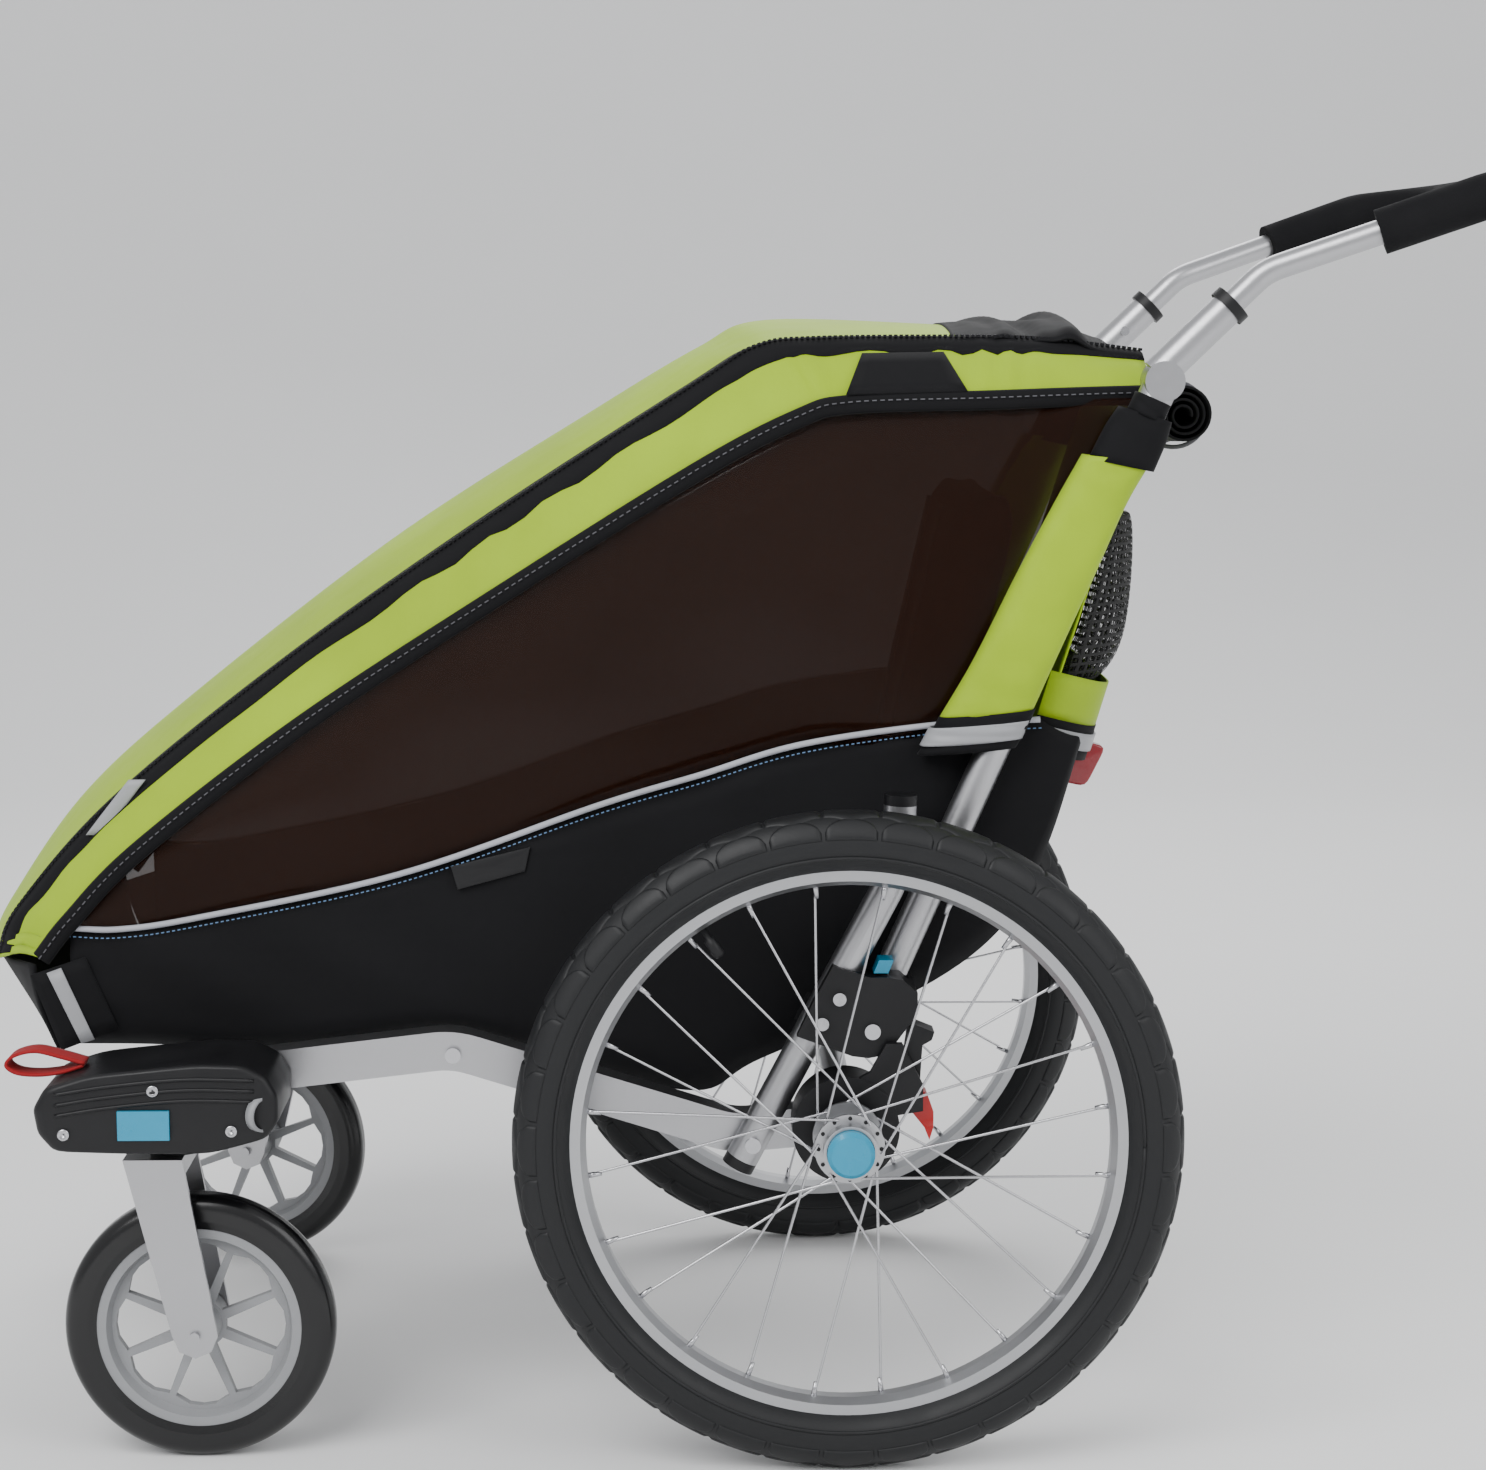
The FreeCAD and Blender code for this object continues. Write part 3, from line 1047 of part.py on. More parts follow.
def build_all():
    """Make every sub-part and return the nodes in order."""
    nodes = []
    for side, sign in SIDES:
        nodes += [tyre("tyre_" + side, sign), rim("rim_" + side, sign), hub("hub_" + side, sign),
                  spokes("spokes_" + side, sign), hub_button("hub_button_" + side, sign),
                  hub_carrier("hub_carrier_" + side, sign), side_arm("side_arm_" + side, sign),
                  lower_upright("lower_upright_" + side, sign), hinge_bracket("hinge_bracket_" + side, sign),
                  corner_housing("corner_housing_" + side, sign), housing_button("housing_button_" + side, sign),
                  lock_tab("lock_tab_" + side, sign), roll_bar("roll_bar_" + side, sign),
                  handle_sleeve("handle_sleeve_" + side, sign), snap_button("snap_button_" + side, sign),
                  caster_stem("caster_stem_" + side, sign), caster_fork("caster_fork_" + side, sign),
                  caster_wheel("caster_wheel_" + side, sign), caster_tyre("caster_tyre_" + side, sign)]
    nodes += [cross_tubes("cross_tubes"), tube_end_caps("tube_end_caps"),
              frame_bolts("frame_bolts"), brake_pedal("brake_pedal"), brake_tab("brake_tab"),
              elbow_joints("elbow_joints"), sleeve_collars("sleeve_collars"), pillar_sleeves("pillar_sleeves"),
              handlebar("handlebar"), foam_grips("foam_grips"), roof_hoop("roof_hoop"), cabin_tub("cabin_tub"),
              canopy("canopy"), side_windows("side_windows"), seat("seat"), seat_harness("seat_harness"),
              harness_buckle("harness_buckle"), rear_panel("rear_panel"), cargo_bag("cargo_bag"),
              rear_reflector("rear_reflector"), rolled_cover("rolled_cover"), strap_loop("strap_loop")]
    return nodes


def check_and_export(nodes):
    """Recompute, refuse any failed object or bad shape, and write one file for each node."""
    DOC.recompute()
    failed = [item.Label for item in DOC.Objects if "Invalid" in item.State or "Error" in item.State]
    if failed:
        raise RuntimeError("failed objects: %s" % ", ".join(failed))
    os.makedirs("parts", exist_ok=True)
    bad = [node.Label for node in nodes if node.Shape.isNull() or not node.Shape.isValid()]
    if bad:
        raise RuntimeError("bad shapes: %s" % ", ".join(bad))
    for node in nodes:
        node.Shape.exportStep("parts/%s.step" % node.Label)


fill_sheet()
check_and_export(build_all())
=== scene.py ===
"""Looks of a child bicycle trailer: its cloth, vinyl, tyres, trims and finishes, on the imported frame."""

import logging
import math
from dataclasses import dataclass, field
from enum import Enum
from typing import Callable, Iterable, Sequence

import bmesh
import bpy
import numpy as np
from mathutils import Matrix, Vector


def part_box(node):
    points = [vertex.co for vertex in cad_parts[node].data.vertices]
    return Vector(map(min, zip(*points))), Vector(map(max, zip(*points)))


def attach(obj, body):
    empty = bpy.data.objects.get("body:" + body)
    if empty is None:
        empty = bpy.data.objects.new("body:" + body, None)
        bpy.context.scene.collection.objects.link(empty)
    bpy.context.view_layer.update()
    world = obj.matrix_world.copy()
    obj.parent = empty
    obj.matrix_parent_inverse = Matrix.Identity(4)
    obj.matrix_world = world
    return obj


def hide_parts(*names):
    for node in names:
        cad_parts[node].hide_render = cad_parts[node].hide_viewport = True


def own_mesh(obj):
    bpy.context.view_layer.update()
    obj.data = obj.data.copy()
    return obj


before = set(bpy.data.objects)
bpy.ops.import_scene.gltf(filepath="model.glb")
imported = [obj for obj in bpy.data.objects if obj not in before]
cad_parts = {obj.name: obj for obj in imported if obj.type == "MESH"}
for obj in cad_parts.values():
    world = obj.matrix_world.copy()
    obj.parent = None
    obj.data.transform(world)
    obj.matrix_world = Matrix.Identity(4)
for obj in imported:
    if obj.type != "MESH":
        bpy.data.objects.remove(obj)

LOG = logging.getLogger("trailer")
Point = tuple[float, float, float]
Pairs = Sequence[tuple[float, float]]
Thing = bpy.types.Object
Socket = bpy.types.NodeSocket
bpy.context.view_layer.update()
SIDES = (("left", -1), ("right", 1))
FULL_TURN = 2 * math.pi
LIME: Point = (0.33, 0.50, 0.003)
BLACK: Point = (0.0045, 0.0045, 0.0055)


class Body(Enum):
    """Rigid bodies that the cloth pieces ride on."""

    CHASSIS = "chassis"
    UPPER = "upper_frame"


class Weave(Enum):
    """How a cloth is woven: threads in each metre, and how deep they stand."""

    FINE = (900.0, 0.10)
    COARSE = (420.0, 0.25)


# ---------------------------------------------------------------- finishes

class Graph:
    """A material's node tree, with short calls for adding and joining nodes."""

    def __init__(self, name: str) -> None:
        """Start an empty principled material.

        Args:
            name: the material's name.
        """
        self.material = bpy.data.materials.new(name)
        self.material.use_nodes = True
        self.tree = self.material.node_tree
        self.shader = self.tree.nodes["Principled BSDF"]
        self.place = self.add("ShaderNodeTexCoord").outputs["Object"]

    def add(self, kind: str, **values: object) -> bpy.types.Node:
        """Add a node.

        Args:
            kind: the node's type.
            values: input sockets by name with underscores for spaces, or properties.

        Returns:
            The new node.
        """
        node = self.tree.nodes.new(kind)
        for key, value in values.items():
            socket = key.replace("_", " ")
            if socket in node.inputs:
                node.inputs[socket].default_value = value
            else:
                setattr(node, key, value)
        return node

    def link(self, out: Socket, into: Socket) -> None:
        """Join two sockets.

        Args:
            out: the socket that gives the value.
            into: the socket that takes it.
        """
        self.tree.links.new(out, into)

    def set(self, **values: float) -> None:
        """Set the shader's constants.

        Args:
            values: sockets by name with underscores for spaces.
        """
        for key, value in values.items():
            self.shader.inputs[key.replace("_", " ")].default_value = value

    def noise(self, scale: float, detail: float = 3.0, stretch: float = 1.0) -> Socket:
        """Noise over the piece.

        Args:
            scale: waves in each metre.
            detail: octaves.
            stretch: further scale of every axis.

        Returns:
            The noise value's socket.
        """
        turn = self.add("ShaderNodeMapping", Scale=(stretch,) * 3)
        self.link(self.place, turn.inputs["Vector"])
        node = self.add("ShaderNodeTexNoise", Scale=scale, Detail=detail)
        self.link(turn.outputs[0], node.inputs["Vector"])
        return node.outputs["Fac"]

    def threads(self, operation: str, scale: float, ways: str, wander: float = 0.0) -> Socket:
        """Two crossing sets of threads.

        Args:
            operation: how the two sets join.
            scale: the bands' scale.
            ways: the two axes that the bands run across.
            wander: distortion of the bands.

        Returns:
            The joined value's socket.
        """
        both = self.add("ShaderNodeMath", operation=operation)
        for way, into in zip(ways, both.inputs):
            wave = self.add("ShaderNodeTexWave", Scale=scale, Distortion=wander,
                            wave_type="BANDS", bands_direction=way)
            self.link(self.place, wave.inputs["Vector"])
            self.link(wave.outputs["Fac"], into)
        return both.outputs[0]

    def ramp(self, value: Socket, low: float, high: float, start: float, end: float) -> Socket:
        """Map a value from the range low..high to start..end.

        Args:
            value: the value's socket.
            low: lower end of its range.
            high: upper end of its range.
            start: what low becomes.
            end: what high becomes.

        Returns:
            The mapped value's socket.
        """
        node = self.add("ShaderNodeMapRange", From_Min=low, From_Max=high, To_Min=start, To_Max=end)
        self.link(value, node.inputs["Value"])
        return node.outputs[0]

    def tint(self, value: Socket, colour: Point, dark: float, light: float = 1.0) -> None:
        """Colour the surface between two tones of one colour.

        Args:
            value: chooses between the tones.
            colour: the colour.
            dark: factor of the darker tone.
            light: factor of the lighter tone.
        """
        mix = self.add("ShaderNodeMix", data_type="RGBA")
        for index, factor in ((6, dark), (7, light)):
            mix.inputs[index].default_value = (*(min(1.0, part * factor) for part in colour), 1)
        self.link(value, mix.inputs[0])
        self.link(mix.outputs[2], self.shader.inputs["Base Color"])

    def bump(self, value: Socket, strength: float, depth: float, under: Socket | None = None) -> Socket:
        """Raise the surface by a value.

        Args:
            value: the height's socket.
            strength: how strongly it shows.
            depth: its depth in metres.
            under: a normal to build on.

        Returns:
            The normal's socket, for a further bump.
        """
        node = self.add("ShaderNodeBump", Strength=strength, Distance=depth)
        self.link(value, node.inputs["Height"])
        if under is not None:
            self.link(under, node.inputs["Normal"])
        self.link(node.outputs[0], self.shader.inputs["Normal"])
        return node.outputs[0]


@dataclass(frozen=True)
class Cloth:
    """Woven cloth: threads both ways, soft creases and uneven colour."""

    name: str
    colour: Point
    weave: Weave = Weave.COARSE
    rough: float = 0.75
    sheen: float = 0.05
    crease: float = 0.35
    gloss: float = 0.2

    def make(self) -> bpy.types.Material:
        """Build the cloth.

        Returns:
            The material.
        """
        g = Graph(self.name)
        count, depth = self.weave.value
        weave = g.threads("MULTIPLY", count / 20, "XZ", 0.6)
        g.tint(g.ramp(g.noise(7.0, 4.0), 0.3, 0.7, 0, 1), self.colour, 0.86, 1.08)
        g.set(Roughness=self.rough, Sheen_Weight=self.sheen, Sheen_Roughness=0.45, Specular_IOR_Level=self.gloss)
        g.bump(weave, depth, 0.0006, g.bump(g.noise(16.0, 2.0), self.crease, 0.006))
        return g.material


@dataclass(frozen=True)
class Metal:
    """Drawn or polished metal: fine drawing lines, a little wear in the gloss."""

    name: str
    colour: Point
    rough: float

    def make(self) -> bpy.types.Material:
        """Build the metal.

        Returns:
            The material.
        """
        g = Graph(self.name)
        g.set(Metallic=1.0)
        line = g.noise(60.0, 5.0, 6.0)
        g.tint(g.noise(11.0, 4.0), self.colour, 0.9)
        g.link(g.ramp(line, 0.25, 0.75, self.rough * 0.9, self.rough * 1.12), g.shader.inputs["Roughness"])
        g.bump(line, 0.02, 0.0002)
        return g.material


@dataclass(frozen=True)
class Moulding:
    """Moulded plastic, rubber or foam: a fine grain, and scuffs that change the gloss."""

    name: str
    colour: Point
    rough: float
    grain: float = 900.0
    relief: float = 0.12
    coat: float = 0.0
    gloss: float = 0.35

    def make(self) -> bpy.types.Material:
        """Build the moulding.

        Returns:
            The material.
        """
        g = Graph(self.name)
        scuff = g.noise(23.0, 5.0)
        g.tint(scuff, self.colour, 0.85, 1.15)
        rough = g.ramp(scuff, 0.3, 0.7, self.rough * 0.85, min(1.0, self.rough * 1.2))
        g.link(rough, g.shader.inputs["Roughness"])
        g.set(Coat_Weight=self.coat, Specular_IOR_Level=self.gloss)
        g.bump(g.noise(self.grain, 2.0), self.relief, 0.0005)
        return g.material


@dataclass(frozen=True)
class Vinyl:
    """Tinted window vinyl: glossy, with slow ripples."""

    name: str
    colour: Point
    clear: float

    def make(self) -> bpy.types.Material:
        """Build the vinyl.

        Returns:
            The material.
        """
        g = Graph(self.name)
        g.tint(g.noise(5.0), self.colour, 0.8, 1.2)
        g.set(Roughness=0.12, Alpha=1.0 - self.clear, Specular_IOR_Level=0.12)
        g.bump(g.noise(9.0, 1.0), 0.3, 0.003)
        return g.material


@dataclass(frozen=True)
class Net:
    """Open mesh cloth: threads with open holes between them."""

    name: str
    colour: Point

    def make(self) -> bpy.types.Material:
        """Build the net.

        Returns:
            The material.
        """
        g = Graph(self.name)
        g.tint(g.noise(30.0), self.colour, 0.8, 1.2)
        g.set(Roughness=0.8)
        top = g.threads("MAXIMUM", 48.0, "YZ")
        g.link(g.ramp(top, 0.62, 0.72, 0.08, 1.0), g.shader.inputs["Alpha"])
        g.bump(top, 0.5, 0.001)
        return g.material


FINISHES = (
    Cloth("lime_cloth", LIME, Weave.FINE, rough=0.62, sheen=0.1, crease=0.4, gloss=0.25),
    Cloth("black_cloth", BLACK, rough=0.8, sheen=0.03),
    Cloth("seat_cloth", (0.012, 0.011, 0.010)),
    Cloth("red_webbing", (0.30, 0.012, 0.015)),
    Cloth("grey_webbing", (0.10, 0.10, 0.11)),
    Cloth("piping_cloth", (0.42, 0.43, 0.47), rough=0.4),
    Cloth("reflective_band", (0.34, 0.345, 0.36), Weave.FINE, rough=0.3),
    Cloth("thread_blue", (0.12, 0.22, 0.38), Weave.FINE),
    Metal("satin_aluminium", (0.50, 0.50, 0.515), 0.34),
    Metal("rim_aluminium", (0.50, 0.505, 0.52), 0.36),
    Metal("polished_steel", (0.55, 0.55, 0.57), 0.22),
    Metal("zip_metal", (0.03, 0.03, 0.033), 0.4),
    Moulding("black_moulding", (0.006, 0.006, 0.007), 0.42),
    Moulding("grey_moulding", (0.27, 0.275, 0.285), 0.42),
    Moulding("blue_moulding", (0.010, 0.27, 0.44), 0.28, coat=0.3),
    Moulding("red_moulding", (0.46, 0.010, 0.010), 0.3, coat=0.3),
    Moulding("tyre_rubber", (0.009, 0.0095, 0.0105), 0.5, grain=500.0, relief=0.2),
    Moulding("gloss_rubber", (0.003, 0.003, 0.0035), 0.22, gloss=0.5),
    Moulding("grip_foam", (0.008, 0.008, 0.009), 0.9, grain=700.0, relief=0.6, gloss=0.15),
    Moulding("red_reflector", (0.30, 0.008, 0.016), 0.15, grain=260.0, relief=0.6, coat=0.6),
    Vinyl("window_vinyl", (0.016, 0.0058, 0.0030), clear=0.30),
    Net("bag_net", (0.006, 0.006, 0.006)),
)

NODE_FINISH = {
    "satin_aluminium": ["side_arm_{s}", "lower_upright_{s}", "roll_bar_{s}", "handle_sleeve_{s}", "cross_tubes",
                        "elbow_joints", "handlebar", "roof_hoop", "caster_fork_{s}"],
    "rim_aluminium": ["rim_{s}", "hub_{s}"],
    "polished_steel": ["spokes_{s}", "frame_bolts", "snap_button_{s}"],
    "black_moulding": ["hub_carrier_{s}", "hinge_bracket_{s}", "caster_stem_{s}", "tube_end_caps", "sleeve_collars",
                       "brake_pedal", "harness_buckle"],
    "blue_moulding": ["hub_button_{s}", "housing_button_{s}", "lock_tab_{s}"],
    "red_moulding": ["brake_tab"],
    "red_reflector": ["rear_reflector"],
    "grey_moulding": ["caster_wheel_{s}"],
    "gloss_rubber": ["caster_tyre_{s}"],
    "grip_foam": ["foam_grips"],
}


class Palette:
    """Every finish of the trailer, made once."""

    def __init__(self) -> None:
        """Build the materials by their plain names."""
        self.made = {finish.name: finish.make() for finish in FINISHES}

    def get(self, name: str) -> bpy.types.Material:
        """Find a finish.

        Args:
            name: its plain name.

        Returns:
            The material.
        """
        return self.made[name]

    def dress_frame(self) -> None:
        """Give every node that is shown as it is its own finish."""
        for finish, patterns in NODE_FINISH.items():
            for name in {pattern.format(s=side) for pattern in patterns for side, _ in SIDES}:
                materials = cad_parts[name].data.materials
                materials.clear()
                materials.append(self.get(finish))


# ---------------------------------------------------------------- mesh tools

def smooth_path(points: Sequence[Sequence[float]], count: int) -> np.ndarray:
    """Points along a smooth curve through the given ones.

    Args:
        points: control points in order.
        count: how many points to return, evenly spread by control index.

    Returns:
        An array of count points.
    """
    ctrl = np.array(points, float)
    padded = np.vstack([2 * ctrl[0] - ctrl[1], ctrl, 2 * ctrl[-1] - ctrl[-2]])
    out = []
    for spot in np.linspace(0, len(ctrl) - 1, count):
        i = min(int(spot), len(ctrl) - 2)
        f = spot - i
        a, b, c, d = padded[i:i + 4]
        curve = (2 * a - 5 * b + 4 * c - d) * f ** 2 + (3 * b - a - 3 * c + d) * f ** 3
        out.append(0.5 * (2 * b + (c - a) * f + curve))
    return np.array(out)


def skin(rows: Iterable, cols: Sequence[float], rule: Callable[..., Point]) -> np.ndarray:
    """A grid of points from a rule.

    Args:
        rows: what the rule takes for each row.
        cols: what it takes for each column.
        rule: gives a point from a row's and a column's value.

    Returns:
        Rows by columns by 3.
    """
    return np.array([[rule(row, col) for col in cols] for row in rows])


def spread(count: int, low: float = -1.0, high: float = 1.0) -> np.ndarray:
    """Even shares.

    Args:
        count: how many.
        low: the first.
        high: the last.

    Returns:
        The shares.
    """
    return np.linspace(low, high, count)


def ring_points(centre: Point, radius: float, count: int, wave: float = 0.0) -> np.ndarray:
    """A ring about an axis along Y.

    Args:
        centre: its middle.
        radius: its radius.
        count: how many points.
        wave: how far it wavers along the axis.

    Returns:
        The ring's points, the last on the first.
    """
    return np.array([(centre[0] + radius * math.cos(a), centre[1] + wave * math.sin(2 * a),
                      centre[2] + radius * math.sin(a)) for a in np.linspace(0, FULL_TURN, count)])


def add_object(name: str, data: bpy.types.ID) -> Thing:
    """Put an object in the scene at the origin.

    Args:
        name: its name.
        data: its mesh, curve, light or camera.

    Returns:
        The new object.
    """
    item = bpy.data.objects.new(name, data)
    bpy.context.scene.collection.objects.link(item)
    return item


def make_mesh(name: str, verts: Iterable[Sequence[float]], faces: Sequence[Sequence[int]],
              material: bpy.types.Material) -> Thing:
    """A smooth mesh object at the origin.

    Args:
        name: the piece's name.
        verts: its points in the frame.
        faces: corner numbers of each face.
        material: its finish.

    Returns:
        The new object.
    """
    mesh = bpy.data.meshes.new(name)
    mesh.from_pydata([tuple(map(float, v)) for v in verts], [], [tuple(map(int, f)) for f in faces])
    mesh.validate()
    mesh.materials.append(material)
    mesh.shade_smooth()
    return add_object(name, mesh)


def grid_faces(rows: int, cols: int, loop_rows: bool = False, loop_cols: bool = False,
               start: int = 0) -> list[list[int]]:
    """Quads over a grid of points.

    Args:
        rows: points one way.
        cols: points the other way.
        loop_rows: join the last row to the first.
        loop_cols: join the last column to the first.
        start: the first point's number.

    Returns:
        Corner numbers of each quad.
    """
    faces = []
    for i in range(rows if loop_rows else rows - 1):
        here, there = start + i * cols, start + ((i + 1) % rows) * cols
        for j in range(cols if loop_cols else cols - 1):
            k = (j + 1) % cols
            faces.append([here + j, here + k, there + k, there + j])
    return faces


def clean(item: Thing) -> Thing:
    """Merge doubles and turn every face outwards.

    Args:
        item: the mesh object.

    Returns:
        The same object.
    """
    mesh = bmesh.new()
    mesh.from_mesh(item.data)
    bmesh.ops.remove_doubles(mesh, verts=mesh.verts, dist=1e-6)
    bmesh.ops.dissolve_degenerate(mesh, edges=mesh.edges, dist=1e-7)
    bmesh.ops.recalc_face_normals(mesh, faces=mesh.faces)
    mesh.to_mesh(item.data)
    mesh.free()
    return item


def bake(item: Thing) -> Thing:
    """Turn an object with modifiers, or a curve, into a plain mesh at the origin.

    Args:
        item: the object, which is removed.

    Returns:
        The plain object, with the same name.
    """
    graph = bpy.context.evaluated_depsgraph_get()
    mesh = bpy.data.meshes.new_from_object(item.evaluated_get(graph))
    mesh.transform(item.matrix_world)
    name = item.name
    bpy.data.objects.remove(item)
    return add_object(name, mesh)


def thicken(item: Thing, depth: float) -> Thing:
    """Give a sheet its thickness, and bake it.

    Args:
        item: the sheet.
        depth: its thickness.

    Returns:
        The baked sheet.
    """
    solid = item.modifiers.new("thickness", "SOLIDIFY")
    solid.thickness = depth
    solid.offset = 0.0
    return bake(item)


def tube(name: str, path: np.ndarray, radius: float, material: bpy.types.Material, squeeze: float = 1.0) -> Thing:
    """A closed round tube along a path.

    Args:
        name: the piece's name.
        path: its middle line.
        radius: its radius.
        material: its finish.
        squeeze: its share of the radius across Y.

    Returns:
        The new object.
    """
    sides = 10
    rings = []
    for spot, heading in zip(path, np.gradient(path, axis=0)):
        heading = heading / (np.linalg.norm(heading) + 1e-12)
        side = np.cross(heading, (0, 1, 0.001))
        side /= np.linalg.norm(side) + 1e-12
        other = np.cross(side, heading) * squeeze
        rings += [spot + radius * (math.cos(a) * side + math.sin(a) * other)
                  for a in np.linspace(0, FULL_TURN, sides, endpoint=False)]
    faces = grid_faces(len(path), sides, loop_cols=True)
    faces += [list(range(sides)), [len(rings) - 1 - i for i in range(sides)]]
    return clean(make_mesh(name, rings, faces, material))


def lathe(name: str, profile: Pairs, centre: Sequence[float], material: bpy.types.Material, steps: int = 96,
          heading: Sequence[float] = (0, 1, 0)) -> Thing:
    """Turn a closed profile about an axis.

    Args:
        name: the piece's name.
        profile: (along, radius) pairs.
        centre: a place on the axis, where along is 0.
        material: its finish.
        steps: copies of the profile.
        heading: the axis.

    Returns:
        The new object.
    """
    turn = Vector((0, 1, 0)).rotation_difference(Vector(heading)).to_matrix()
    verts = []
    for step in range(steps):
        angle = FULL_TURN * step / steps
        verts += [turn @ Vector((radius * math.cos(angle), along, radius * math.sin(angle))) + Vector(centre)
                  for along, radius in profile]
    return clean(make_mesh(name, verts, grid_faces(steps, len(profile), True, True), material))


def pillow(name: str, outline: np.ndarray, low: float, high: float, inset: float,
           material: bpy.types.Material) -> Thing:
    """A closed form from a side outline, its edges rounded over at both faces.

    Args:
        name: the piece's name.
        outline: (x, z) points of the outline.
        low: the face at the lower Y.
        high: the face at the higher Y.
        inset: how far the rounding comes in.
        material: its finish.

    Returns:
        The new object.
    """
    centre, count = outline.mean(0), len(outline)
    reach = np.linalg.norm(outline - centre, axis=1).mean()
    turns = np.linspace(0, math.pi / 2, 5)
    rows = [(low + inset * (1 - math.cos(t)), 1 - math.sin(t)) for t in turns]
    rows += [(high - inset * (1 - math.cos(t)), 1 - math.sin(t)) for t in turns[::-1]]
    verts = [(px, across, pz) for across, shrink in rows
             for px, pz in centre + (outline - centre) * (1 - inset * shrink / reach)]
    faces = grid_faces(len(rows), count, loop_cols=True)
    for start, (across, _) in ((0, rows[0]), ((len(rows) - 1) * count, rows[-1])):
        faces += [[start + j, start + (j + 1) % count, len(verts)] for j in range(count)]
        verts.append((centre[0], across, centre[1]))
    return clean(make_mesh(name, verts, faces, material))


def rounded(corners: Pairs, per: int, soften: int) -> np.ndarray:
    """A closed outline with straight runs and softened corners.

    Args:
        corners: the outline's (x, z) corners.
        per: points on each run.
        soften: how often each point is averaged with its neighbours.

    Returns:
        The outline's points.
    """
    ends = [*corners[1:], corners[0]]
    edge = np.concatenate([np.linspace(a, b, per, endpoint=False) for a, b in zip(corners, ends)])
    for _ in range(soften):
        edge = (np.roll(edge, 1, axis=0) + 2 * edge + np.roll(edge, -1, axis=0)) / 4
    return edge


def inside(corners: Pairs, down: float, along: float) -> np.ndarray:
    """A place inside four corners.

    Args:
        corners: the corners in order round the patch.
        down: share of the way from the first edge to the opposite one.
        along: share of the way along them.

    Returns:
        The place.
    """
    a, b, c, d = map(np.array, corners)
    return (a * (1 - along) + b * along) * (1 - down) + (d * (1 - along) + c * along) * down


# ---------------------------------------------------------------- repeats

class Repeat:
    """A Geometry Nodes tree that repeats one small block, with its sizes as named inputs."""

    def __init__(self, name: str, **inputs: str) -> None:
        """Start the tree.

        Args:
            name: the tree's name.
            inputs: each input's kind by its name.
        """
        self.tree = bpy.data.node_groups.new(name, "GeometryNodeTree")
        face = self.tree.interface
        for label, kind in {**inputs, "Finish": "Material"}.items():
            face.new_socket(label, in_out="INPUT", socket_type="NodeSocket" + kind)
        face.new_socket("Pieces", in_out="OUTPUT", socket_type="NodeSocketGeometry")
        self.keys = {item.name: item.identifier for item in face.items_tree if item.in_out == "INPUT"}
        self.source = self.tree.nodes.new("NodeGroupInput")

    def add(self, kind: str, feeds: dict[str | int, str | Socket] | None = None, **values: object) -> Socket:
        """Add a node and feed it.

        Args:
            kind: the node's type.
            feeds: what each input takes, a named input of the tree or another node's socket.
            values: the node's properties.

        Returns:
            The node's first output, or nothing for the last node.
        """
        node = self.tree.nodes.new(kind)
        for key, value in values.items():
            setattr(node, key, value)
        for key, feed in (feeds or {}).items():
            self.tree.links.new(self.source.outputs[feed] if isinstance(feed, str) else feed, node.inputs[key])
        return node.outputs[0] if node.outputs else None

    def close(self, instances: Socket) -> None:
        """End the tree in real geometry with its finish.

        Args:
            instances: the repeated blocks.
        """
        real = self.add("GeometryNodeRealizeInstances", {0: instances})
        dressed = self.add("GeometryNodeSetMaterial", {"Geometry": real, "Material": "Finish"})
        self.add("NodeGroupOutput", {"Pieces": dressed})

    def run(self, item: Thing, **values: object) -> Thing:
        """Run the tree on an object and bake it.

        Args:
            item: the path or the blank.
            values: the tree's named inputs.

        Returns:
            The baked blocks as one plain mesh.
        """
        modifier = item.modifiers.new("repeat", "NODES")
        modifier.node_group = self.tree
        for key, value in values.items():
            modifier[self.keys[key]] = value
        item.data.update_tag()
        return bake(item)


class PathRepeat(Repeat):
    """Sets a block at even steps along a path."""

    def __init__(self) -> None:
        """Build the tree."""
        super().__init__("repeat_along_path", Path="Geometry", Step="Float", Long="Float", Wide="Float", High="Float")
        points = self.add("GeometryNodeCurveToPoints", {"Curve": "Path", "Length": "Step"}, mode="LENGTH")
        size = self.add("ShaderNodeCombineXYZ", {"X": "Wide", "Y": "High", "Z": "Long"})
        block = self.add("GeometryNodeMeshCube", {"Size": size})
        self.close(self.add("GeometryNodeInstanceOnPoints", {
            "Points": points, "Instance": block, "Rotation": points.node.outputs["Rotation"]}))

    def along(self, name: str, path: np.ndarray, step: float, block: Point, material: bpy.types.Material) -> Thing:
        """Set blocks along a path.

        Args:
            name: the piece's name.
            path: points of the path.
            step: distance between blocks.
            block: each block's length along the path, width and height.
            material: its finish.

        Returns:
            The baked blocks.
        """
        data = bpy.data.curves.new(name, "CURVE")
        data.dimensions = "3D"
        spline = data.splines.new("POLY")
        spline.points.add(len(path) - 1)
        for point, spot in zip(spline.points, path):
            point.co = (*map(float, spot), 1)
        return self.run(add_object(name, data), Step=step, Long=block[0], Wide=block[1], High=block[2], Finish=material)


